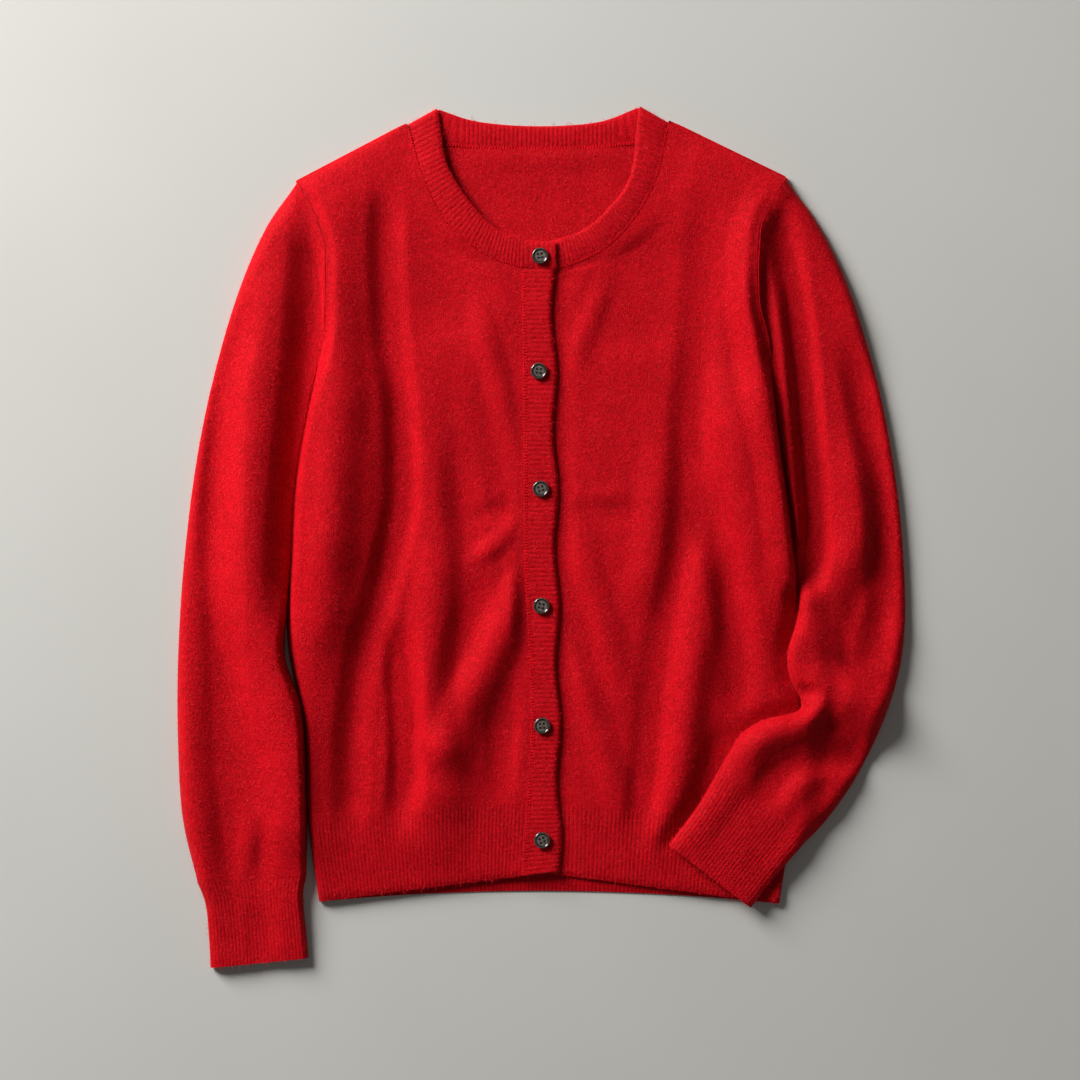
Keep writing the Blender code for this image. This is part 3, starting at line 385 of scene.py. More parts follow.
RIGHT_SLEEVE_FOLDS = (
    Ridge("long crest", 22, ((-180, 260, 0), (-193, 215, 4), (-204, 160, 7.5), (-211, 110, 9.5),
        (-215, 60, 11), (-217, 10, 12.5), (-216, -47, 13), (-203, -86, 13), (-193, -118, 13),
        (-182, -160, 12), (-181, -212, 9), (-184, -265, 3.5), (-188.5, -332, 0))),
    Ridge("inner valley", 12.8, ((-171, 256.5, 0), (-173, 200, -4.5), (-176.5, 125, -5), (-183.5, 58, -6),
        (-188, -6, -5), (-190, -66, 0))),
    Ridge("outer valley", 12.8, ((-217, 189, 0), (-236, 118, -5), (-240, 35, -5), (-239, -40, -3),
        (-235, -115, -3.5), (-229, -182, -2), (-230, -265, 0))),
    Ridge("outer crest", 11.2, ((-259, -10, 0), (-263.5, -77, 1.5), (-262, -152, 4), (-253, -235, 4.5),
        (-239, -306, 0))),
    Ridge("gather ridge", 6.8, ((-217, -193.5, 0), (-219.5, -231, 2), (-222.5, -268.5, 0))),
    Ridge("inner gather", 6.8, ((-205, -201, 0), (-206.5, -235, -1), (-208, -272, 0))),
    Ridge("cuff valley", 10.5, ((-211, -257, 0), (-208, -295, -2.5), (-206.5, -332, 0))),
)
LEFT_SLEEVE_FOLDS = (
    Ridge("inner valley", 9.8, ((175, 255, 0), (184, 205, -7), (192.5, 150, -9), (198, 85, -10),
        (203, 20, -10), (203, -17, -9.5), (196, -44, 0))),
    Ridge("inner lip", 6, ((176, 215, 0), (179.5, 165, 2.5), (186, 85, 4), (191.5, 20, 4.5), (194, -20, 0))),
    Ridge("long crest", 14.5, ((201.5, 230, 0), (214, 155, -1), (226, 95, 0), (235.5, 35, 5.5),
        (234, -6, 6.5), (219, -36, 3.5), (208, -62, 2.5), (190, -92, 0))),
    Ridge("outer valley", 11, ((227.5, 163, 0), (242, 95, -6), (253, 28, -5), (256, -20, -5),
        (257, -52, -4), (251, -80, -3), (248, -104, 0))),
    Ridge("outer crest", 9, ((268, 20, 0), (270, -30, 0), (265, -85, 0.5), (246.5, -156, 0))),
    Ridge("elbow mound", 17, ((191, -109, 0), (214, -115, 7), (229, -121, 9.5), (245, -128, 8.5),
        (262, -136, 5), (276, -142, 0))),
    Ridge("elbow hook", 7, ((192, -92, 0), (207, -104, 1.5), (213, -116, 1.5), (203, -133, 3),
        (184, -140, 0))),
    Ridge("forearm crest", 8.8, ((222, -124, 0), (203, -137, 3.5), (164, -152, 4), (146.5, -181, 1.5),
        (125, -212, 1.5), (102.5, -244, 0))),
    Ridge("elbow valley", 11, ((248, -158, 0), (232, -164, -4), (200, -165, -4), (176, -179, -5.5),
        (164, -212, 0))),
    Ridge("cuff crest", 9.5, ((224, -172, 0), (203, -183, 0.5), (186.5, -196, 1), (171.5, -218, 0))),
    Ridge("outer fold", 9, ((246, -170, 0), (228, -190, 0.5), (206, -206, 2),
        (184, -238, 1), (161.5, -278, 0))),
    Ridge("cuff fall", 20, ((215, -196, 0), (195, -226, -1.2), (172, -256, -1.5), (158, -290, 0))),
    Ridge("elbow fill", 10, ((203, -56, 0), (213, -84, 4), (217, -108, 0))),
    Ridge("pocket", 5.5, ((187, -112, 0), (198, -116, -4.5), (208, -121, 0))),
)
BACK_CREASES = (
    Ridge("neck ridge", 9, ((-70, 286, 0), (-40, 284, 1), (0, 284, 1.2), (40, 286, 1), (72, 292, 0))),
    Ridge("neck groove", 9, ((-60, 262, 0), (-25, 255, -0.2), (15, 253, -0.3), (55, 262, 0))),
)

Front = namedtuple("Front", "lower yoke folds flat_strip armhole_rise covered_by_forearm outward")
FRONTS = {
    "right": Front(RIGHT_LOWER, RIGHT_YOKE, RIGHT_FOLDS, 2.0, 2.5, False, -1.0),
    "left": Front(LEFT_LOWER, LEFT_YOKE, LEFT_FOLDS, BAND_COVERS, 5.5, True, 1.0),
}

# A button's section, as shares of its radius and thickness, from the middle of its back round to its front
BUTTON_PROFILE = (
    Turned(0.0, 0.0),
    Turned(0.72, 0.0),
    Turned(0.88, 0.1),
    Turned(0.97, 0.28),
    Turned(1.0, 0.48),
    Turned(0.99, 0.66),
    Turned(0.96, 0.82),
    Turned(0.92, 0.93),
    Turned(0.87, 0.99),
    Turned(0.82, 0.99),
    Turned(0.78, 0.9),
    Turned(0.75, 0.76),
    Turned(0.71, 0.68),
    Turned(0.64, 0.7),
    Turned(0.45, 0.73),
    Turned(0.0, 0.74),
)

# How finely each piece is made
FRONT_COLUMNS = 80
FRONT_ROWS = 184
BACK_COLUMNS = 90
BACK_ROWS = 110
SLEEVE_ROWS_PER_STEP = 11
COLUMNS_PER_RIB = 6
HEM_ROWS = 17
BACK_HEM_ROWS = 14
CUFF_ROWS = 21
BAND_COLUMNS = 9
EDGE_ROWS = 4  # rows that turn a panel's edge down

# Linking chains beside the bands
BAND_CHAIN = Chain(2.2, (1.3, 0.9, 0.42), 0.6)
NECK_CHAIN = Chain(2.0, (1.1, 0.5, 0.4), 0.5)
BACK_CHAIN = Chain(2.1, (1.2, 0.65, 0.5), 0.5)
CHAIN_RISE = 0.1  # of its middle, above the cloth it links
BACK_CHAIN_RISE = 0.5
BAND_CHAIN_SHIFT = 0.2
CHAIN_SPREAD = 0.75  # of a pair's links from the middle, in their widths
CHAIN_AHEAD = 0.3  # how far ahead a link looks for its direction

# Loose fibres
FRONT_FIBRES = 56000
SLEEVE_FIBRES = 40000
NECK_FIBRES = 22000
FIBRE_SHORTEST = 0.25  # of the longest
FIBRE_RARITY = 3.0  # how much rarer long ones are than short ones
FIBRE_THIN = 0.05  # half widths
FIBRE_THICK = 0.13
FIBRE_ROOT = 0.05  # above the cloth
FIBRE_BEND = 1.3  # greatest bend, in radians
FIBRE_RISE = (0.02, 0.4)  # least and greatest slope of its first half
FIBRE_DROOP = 0.2  # share of that slope left in its second half
RIB_TOP = 0.3  # of ribs above the cloth they stand on, for fibres

# Stage, in metres, with the powers in watts
FLOOR_SIZE = 6.0
CAMERA_HEIGHT = 2.2
CAMERA_PLACE = (-0.0011, -0.00225)
VIEW_WIDTH = 0.81  # of the floor that the camera takes in
SENSOR = 36.0
Lamp = namedtuple("Lamp", "name place power size colour")
LAMPS = (
    Lamp("key light", (-2.08, 1.88, 1.32), 176.0, 1.6, (1.0, 0.985, 0.96)),
    Lamp("fill light", (1.6, -1.2, 2.2), 2.0, 2.0, (1.0, 0.97, 0.93)),
)
SKY_COLOUR = (1.0, 0.985, 0.96, 1.0)
SKY_STRENGTH = 0.08


# ------------------------------------------------------------------ curves and heights


def ease(share):
    """0 to 1 with level ends."""
    share = np.clip(share, 0.0, 1.0)
    return share * share * (3.0 - 2.0 * share)


def roll(share):
    """0 to 1 as a rounded edge: steep at the start and level at the end."""
    share = np.clip(share, 0.0, 1.0)
    return np.sqrt(1.0 - (1.0 - share) ** 2)


def comes_in(at, whole, over):
    """0 to 1 over a stretch, whole at its end and beyond."""
    return ease((at - whole + over) / over)


def curl(turn):
    """How far down an edge has curled after a share of its quarter turn."""
    return 1.0 - np.cos(turn * math.pi / 2)


def mix(a, b, share):
    """From a to b by a share of the way."""
    return a + (b - a) * share


def grid_of(rows, columns):
    """A value for each row and one for each column, spread over their whole grid."""
    return np.meshgrid(rows, columns, indexing="ij")


def points_of(x, y, z):
    return np.stack(np.broadcast_arrays(x, y, z), axis=-1)


def steps_of(table):
    return sum(row.steps for row in table)


def along(table, at):
    """The columns of a table at a number of steps from its start, as a smooth curve."""
    times = np.cumsum([row[0] for row in table]).astype(float)
    rows = np.array([row[1:] for row in table], float)
    after = np.minimum(np.arange(len(rows)) + 1, len(rows) - 1)
    before = np.maximum(np.arange(len(rows)) - 1, 0)
    slopes = (rows[after] - rows[before]) / (times[after] - times[before])[:, None]
    at = np.clip(np.asarray(at, float), times[0], times[-1])
    k = np.clip(np.searchsorted(times, at, side="right") - 1, 0, len(times) - 2)
    span = (times[k + 1] - times[k])[..., None]
    t = (at - times[k])[..., None] / span
    value = (
        (2 * t**3 - 3 * t**2 + 1) * rows[k] + (t**3 - 2 * t**2 + t) * span * slopes[k]
        + (3 * t**2 - 2 * t**3) * rows[k + 1] + (t**3 - t**2) * span * slopes[k + 1]
    )
    return np.moveaxis(value, -1, 0)


def body_at(side, level):
    """side_x, side_y, side_z, seam_x, seam_y, seam_z of a front at a level above the hem."""
    level = np.asarray(level, float)
    front = FRONTS[side]
    return np.where(level < NECK_BASE, along(front.lower, level), along(front.yoke, level - NECK_BASE))


def both_sides(level):
    return body_at("right", level), body_at("left", level)


def nearest_on(points, x, y):
    """(distance, share along) of the nearest point of a line of points."""
    best = np.full(np.shape(x), np.inf)
    share = np.zeros(np.shape(x))
    for k, ((ax, ay), (bx, by)) in enumerate(zip(points, points[1:])):
        dx, dy = bx - ax, by - ay
        t = np.clip(((x - ax) * dx + (y - ay) * dy) / (dx * dx + dy * dy), 0.0, 1.0)
        distance = np.hypot(x - ax - t * dx, y - ay - t * dy)
        nearer = distance < best
        best = np.where(nearer, distance, best)
        share = np.where(nearer, (k + t) / (len(points) - 1), share)
    return best, share


def relief(ridges, x, y):
    """The height that a table of ridges and troughs adds at places on the plan."""
    total = np.zeros(np.shape(x))
    for ridge in ridges:
        table = [(min(k, 1), *point) for k, point in enumerate(ridge.points)]
        spans = len(table) - 1
        line = along(table, np.linspace(0.0, spans, FOLD_SAMPLES * spans + 1))
        distance, share = nearest_on(list(zip(line[0], line[1])), x, y)
        step = np.minimum((share * spans).astype(int), spans - 1)
        heights = line[2][::FOLD_SAMPLES]
        height = mix(heights[step], heights[step + 1], ease(share * spans - step))
        beside = np.clip(1.0 - (distance / (ridge.half_width * FOLD_REACH)) ** 2, 0.0, 1.0)
        total += height * beside**2
    return total


def back_relief(x, y):
    return np.maximum(relief(BACK_CREASES, x, y), -BACK_DIP)


def covered(x, y):
    """1 where the forearm lies over the front, fading to 0 beside it."""
    rows = np.array([*LEFT_SLEEVE[COVER_START:], *LEFT_CUFF[1:]], float)
    outline = [*rows[:, 3:5], *rows[::-1, 1:3], rows[0, 3:5]]
    distance = nearest_on(outline, x, y)[0]
    inside = np.zeros(np.shape(x), bool)
    for (ax, ay), (bx, by) in zip(outline, outline[1:]):
        crosses = (ay > y) != (by > y)
        at = ax + (y - ay) * (bx - ax) / (by - ay if by != ay else 1.0)
        inside ^= crosses & (x < at)
    depth = np.where(inside, distance, -distance)
    return ease((depth + COVER_REACH) / (COVER_REACH + COVER_INSIDE))


def rest_on(height, least):
    """A height that comes softly to rest on the least one."""
    above = height - least
    return least + 0.5 * (above + np.sqrt(above**2 + FLOOR_BLEND**2)) - FLOOR_SINK * FLOOR_BLEND


def front_place(side, level, share):
    """x, y and the height of the underside of a front, at a level and a share of the way from its side."""
    front = FRONTS[side]
    side_x, side_y, side_z, seam_x, seam_y, seam_z = body_at(side, level)
    x, y = mix(side_x, seam_x, share), mix(side_y, seam_y, share)
    width = np.hypot(seam_x - side_x, seam_y - side_y)
    fall = HEM_FALL * (1.0 - np.minimum(level / RIB_LINE, 1.0))
    base = mix(FRONT_LIFT - fall, seam_z + SEAM_LIFT * (1.0 - fall), share)
    height = rest_on(base + FRONT_GAIN * relief(front.folds, x, y), FRONT_REST)
    inward = share * width
    at_armhole = comes_in(level, UNDERARM, 1.0)
    raised = np.maximum(ease((side_z - SIDE_REST) / ARMHOLE_DEPTH), comes_in(level, SHOULDER - 2.0, 2.0))
    height = mix(side_z + front.armhole_rise * raised, height,
                 mix(roll(inward / SIDE_ROLL), ease(inward / ARMHOLE_ROLL), at_armhole))
    seam_roll = mix(BAND_ROLL, NECK_ROLL, comes_in(level, NECK_BASE, 1.0))
    height = mix(seam_z, height, ease(((1.0 - share) * width - front.flat_strip) / seam_roll))
    top = body_at(side, SHOULDER)
    distance, over = nearest_on([(top[0], top[1]), (top[3], top[4])], x, y)
    height = mix(mix(top[2], top[5], over), height, roll(distance / EDGE_ROLL))
    if front.covered_by_forearm:
        height = mix(height, FRONT_REST, covered(x, y))
    return x, y, np.maximum(height, FRONT_REST)


# ------------------------------------------------------------------ making objects


def cloth_thickness():
    return bpy.context.scene.cardigan_sizes.wall / MM


def rib_height():
    return bpy.context.scene.cardigan_sizes.rib_rise / MM


def mesh_from(mesh, name):
    """A mesh data block from a bmesh, which it frees."""
    data = bpy.data.meshes.new(name)
    mesh.to_mesh(data)
    mesh.free()
    return data


def changed(data, change):
    """Puts mesh data through a change made on a bmesh of it."""
    mesh = bmesh.new()
    mesh.from_mesh(data)
    change(mesh)
    mesh.to_mesh(data)
    mesh.free()


def finish_mesh(data, material, nodes=()):
    """The object for finished mesh data: smooth, with its material, on the one body, with the model's parts
    that it stands for hidden.
    """
    data.polygons.foreach_set("use_smooth", np.ones(len(data.polygons), bool))
    data.set_sharp_from_angle(angle=math.radians(50))
    data.materials.append(material)
    made = bpy.data.objects.new(data.name, data)
    bpy.context.scene.collection.objects.link(made)
    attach(made, "root")
    if nodes:
        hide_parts(*nodes)
    return made


def face_outwards(mesh):
    """Turns every face of a closed bmesh outwards."""
    bmesh.ops.recalc_face_normals(mesh, faces=mesh.faces)
    if mesh.calc_volume(signed=True) < 0.0:
        bmesh.ops.reverse_faces(mesh, faces=mesh.faces)


def join_doubles(mesh):
    bmesh.ops.remove_doubles(mesh, verts=mesh.verts, dist=1e-6)


def grid_mesh(name, shape, doubled):
    """A mesh for a grid of points, made double where it is a wall, and each vertex's row and column."""
    rows, columns = shape[0] - 1, shape[1] - 1
    mesh = bmesh.new()
    bmesh.ops.create_grid(mesh, x_segments=columns, y_segments=rows, size=1.0)
    if doubled:
        bmesh.ops.extrude_face_region(mesh, geom=list(mesh.faces))
    data = mesh_from(mesh, name)
    place = np.empty(3 * len(data.vertices))
    data.vertices.foreach_get("co", place)
    place = (place.reshape(-1, 3) + 1.0) / 2.0
    column, row = (np.rint(place[:, k] * count).astype(int) for k, count in enumerate((columns, rows)))
    return data, row, column


def add_stitch_map(data, across, up):
    """A UV map in metres of cloth: across its wales, and up along them."""
    corner = np.empty(len(data.loops), int)
    data.loops.foreach_get("vertex_index", corner)
    layer = data.uv_layers.new(name="stitches")
    layer.data.foreach_set("uv", (np.column_stack([across, up])[corner] * MM).ravel())


def wall(name, over, under, stitches, material, node):
    """A closed wall of cloth from the points of its two faces, each an array of rows, columns and x, y, z."""
    data, row, column = grid_mesh(name, over.shape, True)
    upper = np.arange(len(column)) >= len(column) // 2
    points = np.where(upper[:, None], over[row, column], under[row, column]) * MM
    points[:, 2] = np.maximum(points[:, 2], 0.0)
    data.vertices.foreach_set("co", points.ravel())
    add_stitch_map(data, stitches[0][row, column], stitches[1][row, column])
    changed(data, face_outwards)
    return finish_mesh(data, material, nodes=[node])


def tube(name, over, thickness, stitches, material, node):
    """A tube from the points of its outer face, whose last column meets its first, with a wall inside."""
    inside = behind_ring(over, thickness)
    inside[..., 2] = np.maximum(inside[..., 2], TUBE_INSIDE_LOW)
    points = np.concatenate([over, inside[::-1], over[:1]])
    across, up = (np.concatenate([part, part[::-1], part[:1]]) for part in stitches)
    data, row, column = grid_mesh(name, points.shape, False)
    data.vertices.foreach_set("co", (points[row, column] * MM).ravel())
    add_stitch_map(data, across[row, column], up[row, column])
    changed(data, join_doubles)
    changed(data, face_outwards)
    return finish_mesh(data, material, nodes=[node])


def unit(vectors):
    return vectors / np.maximum(np.linalg.norm(vectors, axis=-1, keepdims=True), 1e-9)


def upwards(vectors):
    """Vectors turned over where they point down."""
    return vectors * np.where(vectors[..., 2:] < 0.0, -1.0, 1.0)


def normals_of(points):
    """Unit normals of a grid of points, pointing up where the grid lies flat."""
    return unit(np.cross(np.gradient(points, axis=1), np.gradient(points, axis=0)))


def behind_ring(points, thickness):
    """The inner face of a tube, from its outer one."""
    wrapped = np.concatenate([points[:, -3:-1], points, points[:, 1:3]], axis=1)
    normal = normals_of(wrapped)[:, 2:-2]
    middle = points.mean(axis=1, keepdims=True)
    outside = ((points - middle) * normal).sum() > 0.0
    return points - normal * thickness * (1.0 if outside else -1.0)


def behind(points, thickness):
    """The points of a wall's hidden face."""
    return points - upwards(normals_of(points)) * thickness


# ------------------------------------------------------------------ materials


class Nodes:
    """A short way to lay out a material's nodes."""

    def __init__(self, name):
        self.material = bpy.data.materials.new(name)
        self.material.use_nodes = True
        self.tree = self.material.node_tree
        self.shader = self.tree.nodes["Principled BSDF"]
        self.place = self.add("TexCoord").outputs["Object"]

    def add(self, kind, inputs=None, **settings):
        node = self.tree.nodes.new("ShaderNode" + kind)
        for key, value in settings.items():
            setattr(node, key, value)
        for key, value in (inputs or {}).items():
            self.put(node.inputs[key], value)
        return node

    def put(self, socket, value):
        if isinstance(value, bpy.types.NodeSocket):
            self.tree.links.new(value, socket)
        else:
            socket.default_value = value

    def finished(self, inputs):
        """The material, with colours and numbers on its shader."""
        for key, value in inputs.items():
            self.put(self.shader.inputs[key], value)
        return self.material

    def math(self, operation, a, b=0.0):
        node = self.add("Math", operation=operation)
        for socket, value in zip(node.inputs, (a, b, 0.0)):
            self.put(socket, value)
        return node.outputs[0]

    def times(self, a, b):
        return self.math("MULTIPLY", a, b)

    def off(self, value, middle):
        """How far a value is off its middle, to either side."""
        return self.math("ABSOLUTE", self.math("SUBTRACT", value, middle))

    def swing(self, value, middle, gain):
        """A value's swing about its middle, times a gain."""
        return self.times(self.math("SUBTRACT", value, middle), gain)

    def total(self, first, *others):
        for other in others:
            first = self.math("ADD", first, other)
        return first

    def noise(self, scale, detail=2.0, roughness=0.5, distortion=0.0, at=None):
        """Noise of so many waves a metre, over the piece's own place."""
        inputs = {"Vector": at or self.place, "Scale": scale, "Detail": detail, "Roughness": roughness}
        return self.add("TexNoise", {**inputs, "Distortion": distortion}).outputs["Fac"]

    def ramp(self, share, *stops):
        node = self.add("ValToRGB", {"Fac": share})
        elements = node.color_ramp.elements
        while len(elements) < len(stops):
            elements.new(0.5)
        for element, (position, colour) in zip(elements, stops):
            element.position = position
            element.color = (*colour, 1.0)
        return node.outputs["Color"]

    def multiplied(self, a, b):
        """Two colours, multiplied."""
        node = self.add("Mix", {0: 1.0, 6: a, 7: b}, data_type="RGBA", blend_type="MULTIPLY")
        return node.outputs[2]

    def bump(self, height, strength, distance):
        node = self.add("Bump", {"Height": height, "Strength": strength, "Distance": distance * MM})
        return node.outputs["Normal"]


def scaled(colour, factor):
    return tuple(min(channel * factor, 1.0) for channel in colour)


def grey(value):
    return (value, value, value)


def wool_material(name, painted_lightness=1.0, wale=1.35, stitch=1.1, stitch_depth=0.35, ribbed=False):
    """Brushed knitted wool: wales and stitches under short loose fibres, their grooves painted darker as
    painted shade. A rib is one wale of its map.
    """
    nodes = Nodes(name)
    # A lightness factor above or below 1 paints a lit or a shaded copy of the same yarn: painted light.
    wool = scaled(bpy.context.scene.cardigan_colours.wool, painted_lightness)

    # Clouds of colour, tufts, tangled strands and single fibres, from large to small
    broad = nodes.noise(55.0)
    clump = nodes.noise(380.0, 3.0, 0.6, 2.2)
    tangle = nodes.off(nodes.noise(560.0, 1.0, 0.5, 1.6), 0.5)
    strand = nodes.math("SUBTRACT", 1.0, nodes.math("MINIMUM", nodes.times(tangle, 9.0), 1.0))
    fine = nodes.noise(1500.0, 2.0, 0.6, 0.8)

    # Wales that wander a little, with stitches slanting to each side of their middle
    wander = nodes.swing(nodes.noise(120.0), 0.5, 1.2)
    if ribbed:
        wander = nodes.times(wander, 0.12)
    stitches = nodes.add("UVMap", uv_map="stitches").outputs["UV"]
    across, up, _ = nodes.add("SeparateXYZ", {"Vector": stitches}).outputs
    u = nodes.total(nodes.math("DIVIDE", across, wale * MM), wander)
    v = nodes.math("DIVIDE", up, stitch * MM)
    off = nodes.off(nodes.math("FRACT", u), 0.5)
    fall = nodes.math("POWER", nodes.times(off, 2.0), 3.0 if ribbed else 2.0)
    column = nodes.math("SUBTRACT", 1.0, fall)
    slant = nodes.math("SINE", nodes.times(nodes.total(v, nodes.times(off, 1.6)), 6.2832))
    knit = nodes.total(nodes.times(column, 0.7), nodes.times(slant, 0.16))

    # The colour follows random clouds, tufts and strands, and the knit too: wale and rib grooves are painted
    # darker as painted shade, their crests lighter as painted highlight.
    share = nodes.total(
        nodes.swing(clump, 0.5, 0.9),
        nodes.swing(strand, 0.45, 0.5),
        nodes.swing(broad, 0.5, 0.35),
        nodes.swing(fine, 0.5, 0.3),
        nodes.swing(knit, 0.45, 0.3 if ribbed else stitch_depth * 0.5),
        0.5,
    )
    # Dark end: random dark tufts and the grooves' painted shade. Light end: lighter strands, paler in green
    # and blue as a painted highlight.
    dark_tone_and_groove_shade = (wool[0] * 0.62, wool[1] * 0.35, wool[2] * 0.45)
    light = (min(wool[0] * 1.4, 1.0), wool[1] * 6.0, wool[2] * 2.2)
    height = nodes.total(
        nodes.times(clump, 0.75), nodes.times(strand, 0.5), nodes.times(fine, 0.25),
        nodes.times(knit, stitch_depth),
    )
    return nodes.finished({
        "Base Color": nodes.ramp(share, (0.12, dark_tone_and_groove_shade), (0.5, wool), (0.9, light)),
        "Normal": nodes.bump(height, 0.9, 0.33),
        "Roughness": 0.45,
        "Specular IOR Level": 0.05,
        "Sheen Weight": 0.1,
        "Sheen Roughness": 0.45,
        "Sheen Tint": (1.0, 0.2, 0.2, 1.0),
    })


def fibre_material():
    """Loose ends of wool, painted lighter and paler than the cloth that they stand on, as a painted sheen of
    the light they catch.
    """
    nodes = Nodes("wool fibre")
    wool = tuple(bpy.context.scene.cardigan_colours.wool)
    # Painted sheen: the lighter, paler colour stands for light caught by loose ends.
    light = (min(wool[0] * 1.9, 1.0), 0.028, 0.04)
    return nodes.finished({
        "Base Color": nodes.ramp(nodes.noise(700.0, 1.0), (0.4, wool), (0.7, light)),
        "Roughness": 0.8,
        "Specular IOR Level": 0.1,
    })


def button_material():
    """Smoky grey shell, cloudy on its face and darker on its polished rim, with painted shade in the groove
    inside the rim and a painted highlight along its crown.
    """
    nodes = Nodes("smoky shell")
    middle = tuple(bpy.context.scene.cardigan_colours.button)
    cloud = nodes.noise(260.0, 4.0, 0.65, 2.5)
    stretched = nodes.add("Mapping", {"Vector": nodes.place, "Scale": (1.0, 3.0, 1.0)}).outputs[0]
    grain = nodes.noise(600.0, at=stretched)
    share = nodes.total(nodes.times(cloud, 0.75), nodes.times(grain, 0.25))
    face = nodes.ramp(share, (0.34, scaled(middle, 0.5)), (0.5, middle), (0.66, scaled(middle, 1.9)))
    # By the distance from the middle: the shell's own darker rim, darkest in the groove by the face as
    # painted shade, with a pale ring on its crown as a painted highlight.
    out = nodes.add("Attribute", attribute_name="out").outputs["Fac"]
    rim_tone_and_painted_light = nodes.ramp(out, (0.62, grey(1.0)), (0.71, grey(0.08)), (0.8, grey(0.15)), (0.88, grey(0.6)),
                      (1.0, grey(0.12)))
    return nodes.finished({
        "Base Color": nodes.multiplied(face, rim_tone_and_painted_light),
        "Normal": nodes.bump(cloud, 0.15, 0.1),
        "Roughness": 0.18,
        "Coat Weight": 1.0,
        "Coat Roughness": 0.1,
    })


def thread_material():
    """Dark sewing thread, near black, so that in the button holes it also paints their shade."""
    nodes = Nodes("button thread")
    twist = nodes.noise(1800.0)
    colour = nodes.ramp(twist, (0.3, (0.008, 0.006, 0.007)), (0.7, (0.035, 0.03, 0.03)))
    return nodes.finished({"Base Color": colour, "Roughness": 0.7})


def floor_material():
    """A pale floor, almost even in tone."""
    nodes = Nodes("pale floor")
    pale = tuple(bpy.context.scene.cardigan_colours.floor)
    colour = nodes.ramp(nodes.noise(6.0, 3.0), (0.3, scaled(pale, 0.985)), (0.7, scaled(pale, 1.015)))
    return nodes.finished({"Base Color": colour, "Roughness": 0.9, "Specular IOR Level": 0.1})


def wool():
    return bpy.data.materials.get("brushed wool") or wool_material("brushed wool")


# The ribbed edges are the same yarn painted 5% darker, as painted shade.
def rib_wool():
    return bpy.data.materials.get("ribbed wool with painted shade") or wool_material(
        "ribbed wool with painted shade", painted_lightness=0.95, wale=1.0, stitch=2.0, stitch_depth=0.2, ribbed=True)


# ------------------------------------------------------------------ the body


def turned_down(count):
    """Shares of the way round a turned-down edge, from its lowest point up."""
    return np.linspace(1.0, 0.0, count + 1)[:-1]


def front_columns(count):
    """A front's columns: the share of its width, the turn down at its side and the drop into its seam."""
    share = np.concatenate([np.zeros(EDGE_ROWS), np.linspace(0.0, 1.0, count + 1), np.ones(2)])
    side_turn = np.concatenate([turned_down(EDGE_ROWS), np.zeros(count + 3)])
    seam_turn = np.concatenate([np.zeros(EDGE_ROWS + count + 1), (0.5, 1.0)])
    return share, side_turn, seam_turn


def front_grid(side):
    """The outer face of a front: x, y, z and the stitch map. Its side, shoulder and seams turn down."""
    share, side_turn, seam_turn = front_columns(FRONT_COLUMNS)
    levels = np.linspace(RIB_LINE, SHOULDER, FRONT_ROWS + 1)
    level = np.concatenate([levels, np.full(EDGE_ROWS, float(SHOULDER))])
    top_turn = np.concatenate([np.zeros(FRONT_ROWS + 1), turned_down(EDGE_ROWS)[::-1]])[:, None]
    level, share = grid_of(level, share)
    x, y, under = front_place(side, level, share)
    top = under + cloth_thickness()
    at_armhole = comes_in(level, UNDERARM, ARMHOLE_STEPS) * (1.0 - comes_in(level, SHOULDER, SHOULDER_STEPS))
    low = mix(EDGE_LOW, top - SEAM_DROP, at_armhole)
    x = x + FRONTS[side].outward * EDGE_BULGE * (1.0 - at_armhole) * np.sin(side_turn * math.pi)
    seam_x, seam_y = body_at(side, level)[3:5]
    from_seam = np.hypot(x - seam_x, y - seam_y)
    y = y + EDGE_BULGE * np.sin(top_turn * math.pi) * ease(from_seam / SHOULDER_TURN)
    z = mix(top, low, curl(side_turn))
    z = mix(z, EDGE_LOW, curl(top_turn))
    z = z - SEAM_DROP * seam_turn * (1.0 - top_turn)
    return points_of(x, y, z), (x - x.mean(), y)


def fronts():
    for side in FRONTS:
        points, stitches = front_grid(side)
        hidden = behind(points, cloth_thickness() * HIDDEN_WALL)
        made = wall(f"{side}_front_knit", points, hidden, stitches, wool(), f"{side}_front")


def rib_wave(phase):
    """0 in the grooves and 1 on the crests of a rib, for a number of ribs."""
    return np.sqrt(0.5 - 0.5 * np.cos(2.0 * math.pi * phase) + RIB_SOFTNESS)


def front_hems():
    thickness = cloth_thickness()
    for side, front in FRONTS.items():
        share, side_turn, seam_turn = front_columns(HEM_RIBS * COLUMNS_PER_RIB)
        level, share = grid_of(np.linspace(0.0, RIB_LINE, HEM_ROWS + 1), share)
        x, y, under = front_place(side, level, share)
        edge = roll((y - y[:1]) / EDGE_LENGTH)
        rib = HEM_RIB_SHARE * rib_height() * rib_wave(share * HEM_RIBS)
        rib = rib * ease((y[-1:] - y) / RIB_FADE + HEM_RIB_START)
        z = under + thickness * mix(EDGE_THIN, 1.0, edge) + rib * mix(EDGE_RIB, 1.0, edge)
        x = x + front.outward * EDGE_BULGE * np.sin(side_turn * math.pi)
        z = mix(z, EDGE_LOW, curl(side_turn)) - SEAM_DROP * seam_turn
        low_x = x - front.outward * thickness * 0.6 * side_turn
        low_z = np.where(side_turn > 0, np.maximum(z - thickness, CLOTH_LOW), under)
        made = wall(f"{side}_front_hem_knit", points_of(x, y, z), points_of(low_x, y, low_z),
                    (share * HEM_RIBS, y), rib_wool(), f"{side}_front_hem_rib")


